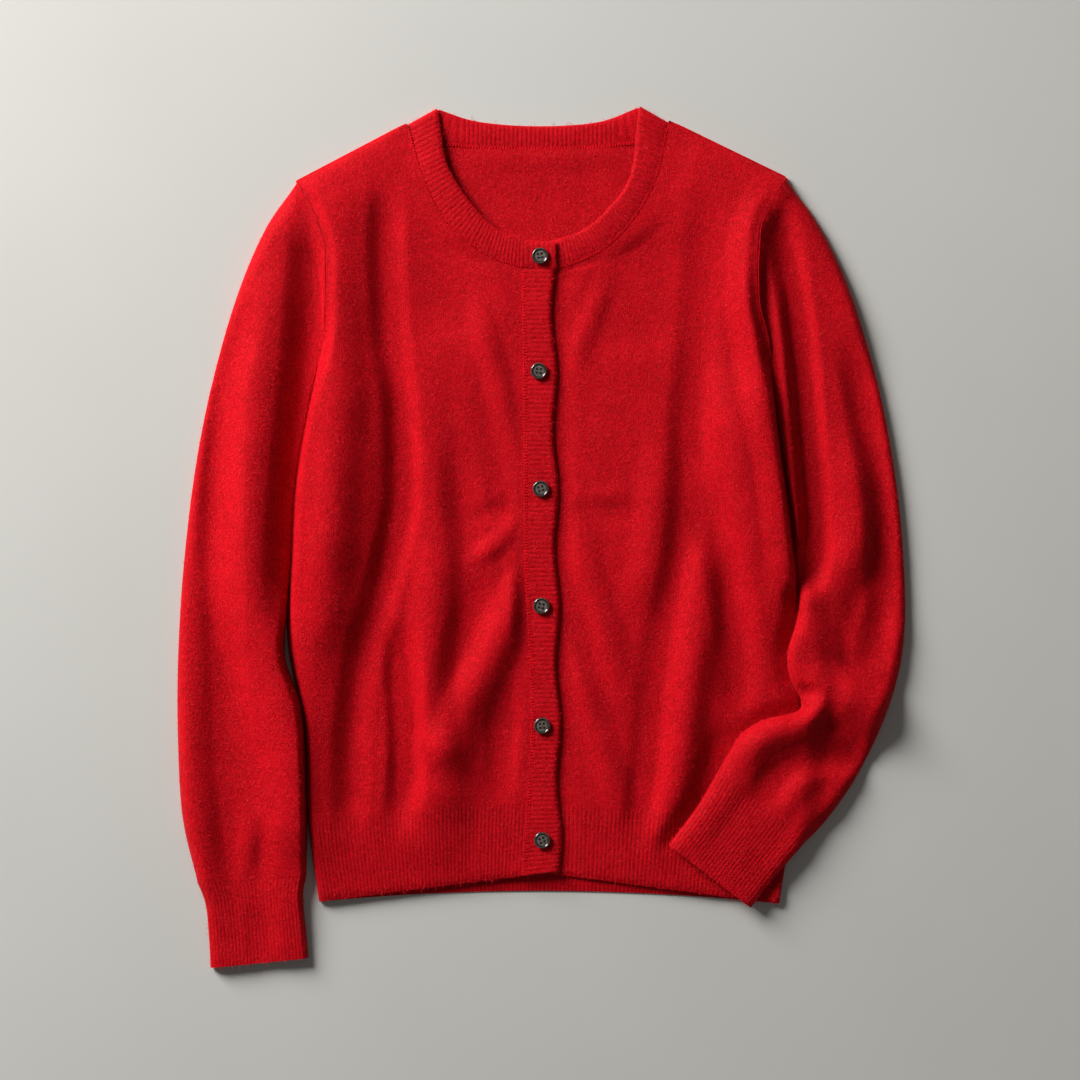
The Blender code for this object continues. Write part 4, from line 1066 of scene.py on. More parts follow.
def back_top(share):
    """y of the back's upper edge at a share of the way across: shoulder, neckline, shoulder."""
    right, left = both_sides(SHOULDER)
    seam = along(BACK_SEAM, np.linspace(0.0, steps_of(BACK_SEAM), 49))
    xs = np.concatenate([[right[0]], seam[0], [left[0]]])
    ys = np.concatenate([[right[1]], seam[1], [left[1]]])
    return np.interp(mix(right[0], left[0], share), xs, ys)


def back():
    levels = np.linspace(RIB_LINE, SHOULDER, BACK_ROWS + 1)
    level, share = grid_of(levels, np.linspace(0.0, 1.0, BACK_COLUMNS + 1))
    right, left = both_sides(level)
    inset = BACK_INSET * (1.0 - ease(level - UNDERARM + ARMHOLE_STEPS))
    x = mix(right[0] + inset, left[0] - inset, share)
    top_right, top_left = both_sides(SHOULDER)
    rise = back_top(share) - mix(top_right[1], top_left[1], share)
    y = mix(right[1], left[1], share) + rise * comes_in(level, SHOULDER, SHOULDER - UNDERARM)
    swell = back_relief(x, y) * (np.abs(share - 0.5) < 0.5 - BACK_RIM)
    made = wall("back_knit", points_of(x, y, cloth_thickness() + swell), points_of(x, y, 0.0), (x, y),
                wool(), "back")


def back_hem():
    ribs = 2 * HEM_RIBS
    level, share = grid_of(np.linspace(0.0, RIB_LINE, BACK_HEM_ROWS + 1), np.linspace(0.0, 1.0, 4 * ribs + 1))
    right, left = both_sides(level)
    x = mix(right[0] + BACK_INSET, left[0] - BACK_INSET, share)
    arch = 4.0 * share * (1.0 - share) * (1.0 - level / RIB_LINE)
    y = mix(right[1], left[1], share) + BACK_HEM_RISE * arch
    edge = roll((y - y[:1]) / EDGE_LENGTH)
    z = cloth_thickness() * mix(BACK_HEM_THIN, 1.0, edge) - BACK_RIB + BACK_RIB * rib_wave(share * ribs)
    made = wall("back_hem_knit", points_of(x, y, z), points_of(x, y, 0.0), (share * ribs, y), rib_wool(),
                "back_hem_rib")


# ------------------------------------------------------------------ sleeves and cuffs


def side_curve(side):
    """y and x of the body's side from the hem up."""
    rows = body_at(side, np.linspace(0.0, SHOULDER, 193))
    return rows[1], rows[0]


def forearm_rest(x, y):
    """Height of what the left sleeve lies on: the surface, or the front once it has climbed on to it."""
    side_x = np.interp(y, *side_curve("left"))
    climb = ease((CLIMB_TOP - y) / CLIMB_LENGTH)
    return FOREARM_REST * climb * (1.0 - ease((x - side_x - STEP_OFF_START) / STEP_OFF_LENGTH))


def on_surface(x, _y):
    return np.zeros(np.shape(x))


Sleeve = namedtuple("Sleeve", "table cuff folds rest rests_on")
SLEEVES = {
    "right": Sleeve(RIGHT_SLEEVE, RIGHT_CUFF, RIGHT_SLEEVE_FOLDS, on_surface, []),
    "left": Sleeve(LEFT_SLEEVE, LEFT_CUFF, LEFT_SLEEVE_FOLDS, forearm_rest, ["left_front_knit"]),
}


def armhole_level(share):
    """The body's level at a share of the way down the armhole."""
    return np.interp(share, TUBE_ACROSS, np.arange(SHOULDER, UNDERARM - 1, -2))


def tube_columns(gaps, first, count):
    """Places across a flat tube, close together at its folded edges."""
    middle = np.linspace(first, TUBE_WIDTH - first, count)
    return np.concatenate([gaps, middle, TUBE_WIDTH - np.array(gaps)[::-1]])


def ring_shape(over_columns, under_columns):
    """Shares across a flat tube, once round, and whether each is on its upper side."""
    over = tube_columns(TUBE_OVER_GAPS, TUBE_OVER_FIRST, over_columns) / TUBE_WIDTH
    under = tube_columns(TUBE_UNDER_GAPS, TUBE_UNDER_FIRST, under_columns)[::-1] / TUBE_WIDTH
    upper = np.concatenate([np.ones(len(over), bool), np.zeros(len(under), bool), [True]])
    return np.concatenate([over, under, [0.0]]), upper


def tube_place(side, table, t, share, upper, lift, from_armhole):
    """Points of the outer face of a sleeve or cuff at steps t down it, and its width there."""
    sleeve = SLEEVES[side]
    outer_x, outer_y, inner_x, inner_y = along(table, t)
    if from_armhole:
        away = ARMHOLE_SHIFT * FRONTS[side].outward
        side_x = np.interp(inner_y, *side_curve(side))
        if side == "right":
            beside = np.minimum(inner_x, side_x - SIDE_GAP)
        else:
            free = inner_y < CLIMB_TOP - CLIMB_LENGTH
            beside = np.where(free, inner_x, np.maximum(inner_x, side_x + SIDE_GAP))
        inner_x = mix(inner_x + away, beside, ease(t))
        outer_x = outer_x + away * (1.0 - ease(t))
    x, y = mix(outer_x, inner_x, share), mix(outer_y, inner_y, share)
    if from_armhole:
        weight = 1.0 - ease(t / ARMHOLE_REACH)
        arm = body_at(side, armhole_level(share))
        top, bottom = body_at(side, SHOULDER), body_at(side, UNDERARM)
        x = x + weight * (arm[0] - mix(top[0], bottom[0], share))
        y = y + weight * (arm[1] - mix(top[1], bottom[1], share))
    width = np.hypot(inner_x - outer_x, inner_y - outer_y)
    out_gap, in_gap = share * width, (1.0 - share) * width
    height = rest_on(lift + SLEEVE_GAIN * relief(sleeve.folds, x, y), SLEEVE_LEAST)
    beside_body = ease((y - CLIMB_TOP) / BESIDE_LENGTH) if from_armhole else 0.0
    inner_roll = INNER_ROLL if side == "right" else mix(SLEEVE_ROLL, INNER_ROLL, beside_body)
    crown = mix(SLEEVE_EDGE, height, roll(out_gap / SLEEVE_ROLL) * roll(in_gap / inner_roll))
    if from_armhole:
        joined = front_place(side, armhole_level(share), np.zeros(np.shape(share)))[2] + WALL
        crown = mix(joined, crown, ease(t / mix(ARMHOLE_RISE_OUT, ARMHOLE_RISE_IN, share**4)))
    low = SLEEVE_EDGE * (1.0 - roll(np.minimum(out_gap, in_gap) / UNDER_ROLL))
    return points_of(x, y, sleeve.rest(x, y) + np.where(upper, crown, low)), width


def sleeve_grid(side, rows_per_step, extra_row, share, upper):
    """A sleeve's points, their width, and the steps, shares and sides of its rows and columns."""
    table = SLEEVES[side].table
    steps = steps_of(table)
    t, share = grid_of(np.linspace(0.0, steps, steps * rows_per_step + extra_row), share)
    upper = np.broadcast_to(upper, t.shape)
    lift = mix(SLEEVE_LIFT, CUFF_LIFT + CUFF_STEP, comes_in(t, steps, CUFF_REACH))
    points, width = tube_place(side, table, t, share, upper, lift, True)
    return points, width, t, share, upper


def sleeves():
    thickness = cloth_thickness() * HIDDEN_WALL
    for side, sleeve in SLEEVES.items():
        points, width, t, share, upper = sleeve_grid(side, SLEEVE_ROWS_PER_STEP, 1, *ring_shape(42, 10))
        stitches = (share * width * np.where(upper, 1.0, -1.0), t * SLEEVE_STEP)
        made = tube(f"{side}_sleeve_knit", points, thickness, stitches, wool(), f"{side}_sleeve")


def cuffs():
    thickness = cloth_thickness() * CUFF_WALL
    over = np.linspace(0.0, 1.0, CUFF_RIBS * COLUMNS_PER_RIB + 1)
    under = np.linspace(1.0, 0.0, CUFF_RIBS * 2 + 1)[1:]
    upper = np.concatenate([np.ones(len(over), bool), np.zeros(len(under) - 1, bool), [True]])
    for side, sleeve in SLEEVES.items():
        steps = steps_of(sleeve.cuff)
        t, share = grid_of(np.linspace(0.0, steps, CUFF_ROWS + 1), np.concatenate([over, under]))
        points, width = tube_place(side, sleeve.cuff, t, share, upper, CUFF_LIFT, False)
        down = t / steps * CUFF_LENGTH
        edge = roll((CUFF_LENGTH - down) / EDGE_LENGTH)
        fade = ease(down / RIB_FADE + CUFF_RIB_START) * mix(EDGE_RIB, 1.0, edge)
        rib = CUFF_RIB_SHARE * rib_height() * rib_wave(share * CUFF_RIBS) * fade
        gaps = np.minimum(share, 1.0 - share) * width
        points[..., 2] += np.where(upper, rib * roll(gaps / CUFF_SIDE), 0.0)
        made = tube(f"{side}_cuff_knit", points, thickness, (share * CUFF_RIBS, down), rib_wool(),
                    f"{side}_cuff")


# ------------------------------------------------------------------ neckband, button bands and buttons


def outward(seam, free):
    """The direction on the plan in which the neckband folds over at a shoulder."""
    across = np.asarray(free) - np.asarray(seam)
    length = math.copysign(math.hypot(*across), across[0])
    return np.array([-across[1], across[0]]) / length


def straight(a, b):
    """A straight run from one place on the plan to another, as a function of the share along it."""
    return lambda k: np.stack([mix(a[0], b[0], k), mix(a[1], b[1], k)])


def constant(value):
    """The same value all along a run."""
    return lambda k: np.full(k.shape, value)


def front_neckline(side, edge, to_shoulder):
    """Seam, free edge and height of the neckband along a front, towards its shoulder or away from it."""

    def level(k):
        return NECK_BASE + (SHOULDER - NECK_BASE) * (k if to_shoulder else 1.0 - k)

    return (lambda k: body_at(side, level(k))[3:5], lambda k: along(edge, level(k) - NECK_BASE),
            lambda k: body_at(side, level(k))[5])


def station(curves, at):
    """Seam point, free point and height at one share along a neckline."""
    seam, free, height = (curve(np.array([at])) for curve in curves)
    return seam[:, 0], free[:, 0], height[0]


def drawn_in(curve, fold_point, last_point, at_end):
    """A curve whose last stretch moves over to the fold's place."""
    shift = fold_point - last_point

    def moved(k):
        return curve(k) + shift[:, None] * comes_in(k if at_end else 1.0 - k, 1.0, NECK_DRAW)

    return moved


def back_edge(table, a, b):
    """An edge of the back neck over an even spread of x: its ribs stand upright, fanned out at its ends."""
    edge = along(table, np.linspace(0.0, steps_of(table), 81))
    a, b = a[:, None], b[:, None]

    def curve(k):
        x = mix(BACK_FREE[0].x, BACK_FREE[-1].x, k)
        x = x + (a[0] - x) * (1.0 - ease(k / NECK_FAN))
        x = x + (b[0] - x) * comes_in(k, 1.0, NECK_FAN)
        points = np.stack([x, np.interp(x, edge[0], edge[1])])
        points = points + (a - points[:, :1]) * (1.0 - ease(k / NECK_JOIN))
        return points + (b - points[:, -1:]) * comes_in(k, 1.0, NECK_JOIN)

    return curve


def neck_stations():
    """The neckband's stations end to end: seam x, y, free x, y, height, turn over and count of ribs."""
    right = front_neckline("right", RIGHT_NECK_EDGE, True)
    left = front_neckline("left", LEFT_NECK_EDGE, False)
    right_first, right_last = station(right, 0.0), station(right, 1.0)
    left_first, left_last = station(left, 0.0), station(left, 1.0)
    folds = []
    for seam, free, height in (right_last, left_first):
        pull = outward(seam, free) * (height + WALL) / 2
        folds.append((seam - pull, free - pull, height))
    right_fold, left_fold = folds
    parts = []

    def run(seam, free, height, turn, ribs):
        k = np.linspace(0.0, 1.0, int(round(ribs * COLUMNS_PER_RIB)) + 1)
        parts.append((seam(k), free(k), height(k), turn(k), k * ribs))

    def run_between(a, b, height, turn, ribs):
        run(straight(a[0], b[0]), straight(a[1], b[1]), height, turn, ribs)

    def run_along(curves, fold, last, at_end):
        seam, free = (drawn_in(*each, at_end) for each in zip(curves[:2], fold, last))
        run(seam, free, curves[2], constant(0.0), (SHOULDER - NECK_BASE) * NECK_RIBS_PER_STEP)

    run_between(RIGHT_BAND_END, right_first, lambda k: mix(BAND_REST + NECK_END_RISE, right_first[2], k),
                constant(0.0), NECK_END_RIBS)
    run_along(right, right_fold, right_last, True)
    run_between(right_fold, right_fold, constant(right_fold[2]), lambda k: k, NECK_FOLD_RIBS)
    run(back_edge(BACK_SEAM, right_fold[0], left_fold[0]), back_edge(BACK_FREE, right_fold[1], left_fold[1]),
        constant(0.0), constant(1.0), BACK_NECK_RIBS)
    run_between(left_fold, left_fold, constant(left_fold[2]), lambda k: 1.0 - k, NECK_FOLD_RIBS)
    run_along(left, left_fold, left_first, False)
    run_between(left_last, LEFT_BAND_END, constant(left_last[2]), constant(0.0), NECK_UNDER_RIBS)

    joined, passed = [], 0.0
    for number, (*places, ribs) in enumerate(parts):
        keep = slice(min(number, 1), None)
        joined.append([values[..., keep] for values in (*places, ribs + passed)])
        passed += ribs[-1]
    return [np.concatenate(values, axis=-1) for values in zip(*joined)]


def band_columns():
    """Shares of the way across a band, a little closer together at its edges."""
    share = np.linspace(0.0, 1.0, BAND_COLUMNS + 1)
    return mix(share, ease(share), BAND_CROWDING)


def neckband_faces():
    """The points of the neckband's two faces and its stitch map."""
    thickness = cloth_thickness()
    seam, free, height, turn, ribs = neck_stations()
    across = np.array([outward(s, f) for s, f in zip(seam.T, free.T)])
    length = np.hypot(*(free - seam))[:, None]
    height, turn, ribs = height[:, None], turn[:, None], ribs[:, None]
    w = mix(SEAM_GAP * 0.5 / length, 1.0, band_columns()[None, :])
    x = mix(seam[0][:, None], free[0][:, None], w)
    y = mix(seam[1][:, None], free[1][:, None], w)
    ends = roll((1.0 - w) * length / FREE_ROLL) * mix(NECK_SEAM_THIN, 1.0, roll(w * length / SEAM_ROLL))
    rib = NECK_RIB_SHARE * rib_height() * rib_wave(ribs) * mix(BAND_EDGE_RIB, 1.0, ends)
    lift = height + w * NECK_EDGE_RISE * ease(height - FRONT_REST)
    face = thickness * mix(EDGE_THIN, 1.0, ends) + rib + NECK_CROWN * np.sin(w * math.pi) * ends
    bend = turn * math.pi
    middle = (height + WALL) / 2

    def bent(radius):
        return points_of(x + across[:, :1] * radius * np.sin(bend), y + across[:, 1:] * radius * np.sin(bend),
                         middle + radius * np.cos(bend))

    on_front = turn < 0.5
    turning = ((turn > 0.0) & (turn < 1.0))[..., None]
    flat_over = points_of(x, y, np.where(on_front, lift + face, 0.0))
    flat_under = points_of(x, y, np.where(on_front, lift, face))
    over = np.where(turning, bent((height + WALL) / 2), flat_over)
    under = np.where(turning, bent((height - WALL) / 2), flat_under)
    return over, under, (np.broadcast_to(ribs, x.shape), w * length)


def neckband():
    made = wall("neckband_knit", *neckband_faces(), rib_wool(), "neckband")


def band_free_x(y):
    """The buttonhole band's free edge, which springs out at each button."""
    top, bottom = RIGHT_LOWER[-1].seam_y, RIGHT_LOWER[0].seam_y
    drift = BAND_DRIFT * (top - y) / (top - bottom)
    wave = np.cos(2.0 * math.pi * (y - BAND_WAVE_CREST) / BUTTON_PITCH)
    return BAND_FREE_X + drift + BAND_WAVE * (wave - 1.0)


def band_rows(lower, rows_per_rib):
    """y of a band's rows from the hem up, and how many ribs it has."""
    top, bottom = lower[-1].seam_y - BAND_TOP_GAP, lower[0].seam_y
    ribs = round((top - bottom) / BAND_RIB_PITCH)
    y = np.linspace(bottom, top, ribs * rows_per_rib + 1)
    return y, ribs


def buttonhole_faces():
    """The points of the buttonhole band's two faces and its stitch map."""
    y, ribs = band_rows(RIGHT_LOWER, COLUMNS_PER_RIB)
    bottom, top = y[0], y[-1]
    rows = body_at("right", np.linspace(0.0, NECK_BASE, 161))
    seam_x = np.interp(y, rows[4], rows[3])[:, None]
    y, share = grid_of(y, band_columns())
    free_x = band_free_x(y)
    x = mix(seam_x + SEAM_GAP * 0.5, free_x, share)
    length = free_x - seam_x
    up = (y - bottom) / (top - bottom)
    slope = BAND_END_SLOPE * ease(1.0 - up / BAND_END_STATIONS)
    edge = roll((1.0 - share) * length / FREE_ROLL)
    edge = edge * mix(BAND_SEAM_THIN, 1.0, roll(share * length / SEAM_ROLL))
    edge = edge * mix(BAND_END_THIN, 1.0, roll((y - bottom) / FREE_ROLL))
    rib = BAND_RIB_SHARE * rib_height() * rib_wave(up * ribs) * mix(BAND_EDGE_RIB, 1.0, edge)
    crown = BAND_CROWN * np.sin(share * math.pi) + BAND_LEAN * share
    dimple = np.zeros(y.shape)
    for button_x, button_y in BUTTON_PLACES[1:]:
        away = np.hypot(x - button_x, y - button_y)
        dimple += BAND_DIMPLE * np.exp(-(away / BAND_DIMPLE_RADIUS) ** 2)
    z = BAND_REST + cloth_thickness() * mix(EDGE_THIN, 1.0, edge) + rib + crown * edge - dimple
    low_z = BAND_REST - BAND_DIMPLE_THROUGH * dimple
    y_sloped = y + share * slope
    return points_of(x, y_sloped, z), points_of(x, y_sloped, low_z), (up * ribs, x)


def buttonhole_band():
    made = wall("buttonhole_band_knit", *buttonhole_faces(), rib_wool(), "buttonhole_band")


def button_band():
    y, ribs = band_rows(LEFT_LOWER, 4)
    bottom, top = y[0], y[-1]
    y, share = grid_of(y, np.linspace(0.0, 1.0, 4))
    x = mix(BUTTON_BAND_X, LEFT_LOWER[0].seam_x - SEAM_GAP * 0.5, share)
    phase = (y - bottom) / (top - bottom) * ribs
    edge = roll((y - bottom) / FREE_ROLL)
    z = FRONT_REST + cloth_thickness() * mix(BAND_END_THIN, 1.0, edge) + BUTTON_BAND_RIB * rib_wave(phase)
    made = wall("button_band_knit", points_of(x, y, z), points_of(x, y, FRONT_REST), (phase, x), rib_wool(),
                "button_band")


def rod(mesh, sides, radius, end_radius, length, place):
    """A capped rod or cone along z, with its middle at a place in millimetres."""
    made = bmesh.ops.create_cone(mesh, cap_ends=True, segments=sides, radius1=radius * MM,
                                 radius2=end_radius * MM, depth=length * MM)["verts"]
    bmesh.ops.translate(mesh, verts=made, vec=Vector(place) * MM)
    return made


def rotate(mesh, verts, angle, axis):
    bmesh.ops.rotate(mesh, verts=verts, cent=(0, 0, 0), matrix=Matrix.Rotation(angle, 3, axis))


def button_seats():
    """The angle of each button and the place of the middle of its back."""
    for number, ((x, y), degrees) in enumerate(zip(BUTTON_PLACES, BUTTON_TURNS)):
        on_neckband = NECK_END_RISE if number == 0 else 0.0
        yield math.radians(degrees), Vector((x, y, BAND_REST + on_neckband + BUTTON_SEAT)) * MM


def button_mesh():
    """A four-hole button at the origin: a turned body with a raised rim, with its holes cut through."""
    radius, height, reach = BUTTON_DIAMETER / 2, BUTTON_THICKNESS, BUTTON_HOLES_APART / 2
    mesh = bmesh.new()
    verts = [mesh.verts.new(Vector((turned.out * radius, 0.0, turned.up * height)) * MM)
             for turned in BUTTON_PROFILE]
    edges = [mesh.edges.new(pair) for pair in zip(verts, verts[1:])]
    bmesh.ops.spin(mesh, geom=verts + edges, axis=(0, 0, 1), cent=(0, 0, 0), angle=2 * math.pi,
                   steps=BUTTON_STEPS, use_merge=True)
    join_doubles(mesh)
    bmesh.ops.recalc_face_normals(mesh, faces=mesh.faces)
    drills = bmesh.new()
    for x in (-reach, reach):
        for y in (-reach, reach):
            rod(drills, DRILL_SIDES, BUTTON_HOLE / 2, BUTTON_HOLE / 2, 3 * height, (x, y, 0.0))
    blank = bpy.data.objects.new("button blank", mesh_from(mesh, "button body"))
    cutter = bpy.data.objects.new("button drills", mesh_from(drills, "button drills"))
    for made in (blank, cutter):
        bpy.context.scene.collection.objects.link(made)
    cut = blank.modifiers.new("holes", "BOOLEAN")
    cut.operation = "DIFFERENCE"
    cut.object = cutter
    cut.solver = "EXACT"
    evaluated = blank.evaluated_get(bpy.context.evaluated_depsgraph_get())
    finished = bpy.data.meshes.new_from_object(evaluated)
    for made in (blank, cutter):
        bpy.data.objects.remove(made, do_unlink=True)
    place = np.empty(3 * len(finished.vertices))
    finished.vertices.foreach_get("co", place)
    out = np.hypot(place[0::3], place[1::3]) / (radius * MM)
    finished.attributes.new("out", "FLOAT", "POINT").data.foreach_set("value", out)
    return finished


def buttons():
    shell = button_material()
    shape = button_mesh()
    for number, (angle, seat) in enumerate(button_seats(), start=1):
        mesh = bmesh.new()
        mesh.from_mesh(shape)
        rotate(mesh, mesh.verts, angle, "Z")
        bmesh.ops.translate(mesh, verts=mesh.verts, vec=seat)
        finish_mesh(mesh_from(mesh, f"button_{number}_shell"), shell, [f"button_{number}"])
    button_threads()


def button_threads():
    """Sewing thread through each button: two strands across its face and a shank down to the band."""
    mesh = bmesh.new()
    reach = BUTTON_HOLES_APART / 2
    lower, upper, length = SHANK_SHARES
    for angle, seat in button_seats():
        pieces = []
        for strand in (-THREAD_RADIUS, THREAD_RADIUS):
            span = 2 * (reach + THREAD_RADIUS)
            made = rod(mesh, THREAD_SIDES, THREAD_RADIUS, THREAD_RADIUS, span, (0, 0, 0))
            rotate(mesh, made, math.pi / 2, "Y")
            level = BUTTON_THICKNESS * THREAD_LEVEL
            bmesh.ops.translate(mesh, verts=made, vec=Vector((0.0, strand - reach, level)) * MM)
            pieces += made
        # The shanks fill the holes with near-black thread: real thread, and painted shade inside the holes.
        for x in (-reach, reach):
            for y in (-reach, reach):
                pieces += rod(mesh, SHANK_SIDES, BUTTON_HOLE * lower, BUTTON_HOLE * upper,
                              BUTTON_THICKNESS * length, (x, y, BUTTON_THICKNESS * SHANK_LEVEL))
        rotate(mesh, pieces, angle, "Z")
        bmesh.ops.translate(mesh, verts=pieces, vec=seat)
    finish_mesh(mesh_from(mesh, "button_threads"), thread_material())


# ------------------------------------------------------------------ seams and loose fibres


def strew(name, shape, places, material):
    """Copies of a small shape, joined. places holds an origin and three axes, in millimetres, for each."""
    verts = np.array([vert.co[:] for vert in shape.verts])
    faces = [[vert.index for vert in face.verts] for face in shape.faces]
    points = places[:, None, 0, :] + np.einsum("vk,pkc->pvc", verts, places[:, 1:, :])
    joined = [[index + k * len(verts) for index in face] for k in range(len(places)) for face in faces]
    data = bpy.data.meshes.new(name)
    data.from_pydata((points.reshape(-1, 3) * MM).tolist(), [], joined)
    return finish_mesh(data, material)


def chain_places(line_x, line_y, line_z, chain):
    """Places of the links of a chain stitch along a line: pairs that lean in towards it."""
    points = points_of(line_x, line_y, line_z)
    steps = np.linalg.norm(np.diff(points, axis=0), axis=1)
    run = np.concatenate([[0.0], np.cumsum(steps)])
    at = (np.arange(int(run[-1] / chain.pitch)) + 0.5) * chain.pitch

    def on_line(where):
        return points_of(*(np.interp(where, run, points[:, k]) for k in range(3)))

    centre = on_line(at)
    forward = unit(on_line(at + CHAIN_AHEAD) - centre)
    side = unit(points_of(-forward[:, 1], forward[:, 0], 0.0))
    up = upwards(np.cross(forward, side))
    length, width, height = chain.size
    cosine, sine = math.cos(chain.lean), math.sin(chain.lean)
    places = []
    for lean in (-1.0, 1.0):
        origin = centre + side * lean * width * CHAIN_SPREAD
        direction = forward * cosine + side * sine * lean
        across = side * cosine - forward * sine * lean
        places.append(np.stack([origin, direction * length, across * width, up * height], axis=1))
    return np.concatenate(places)


def linking_stitches():
    """The chain of stitches that links each band to the body."""
    rows = body_at("right", np.linspace(0.0, NECK_BASE, 200))
    rise = WALL + CHAIN_RISE
    places = [chain_places(rows[3] + BAND_CHAIN_SHIFT, rows[4], rows[5] + rise, BAND_CHAIN)]
    for side in FRONTS:
        rows = body_at(side, np.linspace(NECK_BASE, SHOULDER, 120))[:, 1:-3]
        places.append(chain_places(rows[3], rows[4], rows[5] + rise, NECK_CHAIN))
    seam = along(BACK_SEAM, np.linspace(0.4, 7.6, 120))
    places.append(chain_places(seam[0], seam[1], WALL + BACK_CHAIN_RISE, BACK_CHAIN))
    link = bmesh.new()
    bmesh.ops.create_icosphere(link, subdivisions=1, radius=1.0)
    link.verts.index_update()
    # The chain is the same yarn painted 30% lighter: a painted highlight on its raised stitches.
    strew("linking_stitches", link, np.concatenate(places), wool_material("linking yarn with painted highlight", painted_lightness=1.3))
    link.free()


def fibres(name, grids, count, seed):
    """Loose ends of wool over grids of points: bent ribbons of two faces, most of them short and fine."""
    rng = np.random.default_rng(seed)
    corners = np.concatenate([
        np.stack([grid[:-1, :-1], grid[:-1, 1:], grid[1:, 1:], grid[1:, :-1]], axis=2).reshape(-1, 4, 3)
        for grid in grids
    ])
    normal = np.cross(corners[:, 2] - corners[:, 0], corners[:, 3] - corners[:, 1])
    area = np.linalg.norm(normal, axis=1)
    chosen = rng.choice(len(corners), size=count, p=area / area.sum())
    a, b = rng.random((2, count, 1))
    quad = corners[chosen]
    root = mix(mix(quad[:, 0], quad[:, 1], a), mix(quad[:, 3], quad[:, 2], a), b)
    up = upwards(unit(normal))[chosen]
    angle = rng.uniform(0.0, 2.0 * math.pi, (count, 1))
    first = unit(np.cross(up, np.array([0.0, 1.0, 0.3])))
    level = first * np.cos(angle) + np.cross(up, first) * np.sin(angle)
    bend = rng.uniform(-FIBRE_BEND, FIBRE_BEND, (count, 1))
    turned = level * np.cos(bend) + np.cross(up, level) * np.sin(bend)
    size = mix(FIBRE_SHORTEST, 1.0, rng.random((count, 1)) ** FIBRE_RARITY)
    rise = rng.uniform(*FIBRE_RISE, (count, 1))
    half = bpy.context.scene.cardigan_sizes.fibre_length / MM * size * 0.5
    root = root + up * FIBRE_ROOT
    middle = root + (level + up * rise) * half
    tip = middle + (turned + up * rise * FIBRE_DROOP) * half
    side = unit(np.cross(up, level + turned)) * mix(FIBRE_THIN, FIBRE_THICK, size)
    points = np.stack([root, middle + side, tip, middle - side], axis=1)
    points[..., 2] = np.maximum(points[..., 2], CLOTH_LOW)
    first_point = 4 * np.arange(count)[:, None]
    faces = np.concatenate([first_point + np.array([0, 1, 3]), first_point + np.array([1, 2, 3])])
    data = bpy.data.meshes.new(name)
    data.from_pydata((points.reshape(-1, 3) * MM).tolist(), [], faces.tolist())
    return finish_mesh(data, bpy.data.materials.get("wool fibre") or fibre_material())


def loose_fibres():
    for side, sleeve in SLEEVES.items():
        level, share = grid_of(np.linspace(0.0, RIB_LINE, 20), np.linspace(0.0, 1.0, 90))
        x, y, z = front_place(side, level, share)
        hem = points_of(x, y, z + WALL + RIB_TOP)
        share, upper = ring_shape(20, 2)
        share = share[upper][:-1]
        arm = sleeve_grid(side, 6, 0, share, np.ones(len(share), bool))[0]
        t, share = grid_of(np.linspace(0.0, steps_of(sleeve.cuff), 20), np.linspace(0.0, 1.0, 60))
        cuff, _ = tube_place(side, sleeve.cuff, t, share, np.ones(t.shape, bool), CUFF_LIFT + RIB_TOP, False)
        fibres(f"{side}_front_fibres", [front_grid(side)[0], hem], FRONT_FIBRES, 3)
        fibres(f"{side}_sleeve_fibres", [arm, cuff], SLEEVE_FIBRES, 4)
    x, y = np.meshgrid(np.linspace(-76, 76, 40), np.linspace(205, 296, 30))
    inside = points_of(x, y, WALL + back_relief(x, y))
    fibres("neck_and_band_fibres", [neckband_faces()[0], buttonhole_faces()[0], inside], NECK_FIBRES, 5)


# ------------------------------------------------------------------ stage


def stage():
    scene = bpy.context.scene
    mesh = bmesh.new()
    bmesh.ops.create_grid(mesh, x_segments=2, y_segments=2, size=FLOOR_SIZE)
    data = mesh_from(mesh, "floor")
    data.materials.append(floor_material())
    floor = bpy.data.objects.new("floor", data)
    scene.collection.objects.link(floor)

    for lamp in LAMPS:
        data = bpy.data.lights.new(lamp.name, "AREA")
        data.energy = lamp.power
        data.shape = "DISK"
        data.size = lamp.size
        data.color = lamp.colour
        light = bpy.data.objects.new(lamp.name, data)
        light.location = lamp.place
        light.rotation_euler = (-Vector(lamp.place)).to_track_quat("-Z", "Y").to_euler()
        scene.collection.objects.link(light)

    world = bpy.data.worlds.new("studio")
    world.use_nodes = True
    sky = world.node_tree.nodes["Background"].inputs
    sky["Color"].default_value = SKY_COLOUR
    sky["Strength"].default_value = SKY_STRENGTH
    scene.world = world

    data = bpy.data.cameras.new("camera")
    data.sensor_width = SENSOR
    data.lens = SENSOR * CAMERA_HEIGHT / VIEW_WIDTH
    camera = bpy.data.objects.new("camera", data)
    camera.location = (*CAMERA_PLACE, CAMERA_HEIGHT)
    scene.collection.objects.link(camera)
    scene.camera = camera
    scene.view_settings.view_transform = "Standard"


# ------------------------------------------------------------------ the add-on


class CardiganSizes(bpy.types.PropertyGroup):
    wall: bpy.props.FloatProperty(
        name="Cloth thickness", description="Thickness of the knitted cloth", default=WALL * MM,
        min=0.001, max=0.003, unit="LENGTH", precision=4,
    )
    rib_rise: bpy.props.FloatProperty(
        name="Rib height", description="How far a rib's crest stands above its grooves", default=0.00045,
        min=0.0, max=0.002, unit="LENGTH", precision=4,
    )
    fibre_length: bpy.props.FloatProperty(
        name="Fibre length", description="Length of the loose ends of wool", default=0.0052,
        min=0.0, max=0.006, unit="LENGTH", precision=4,
    )


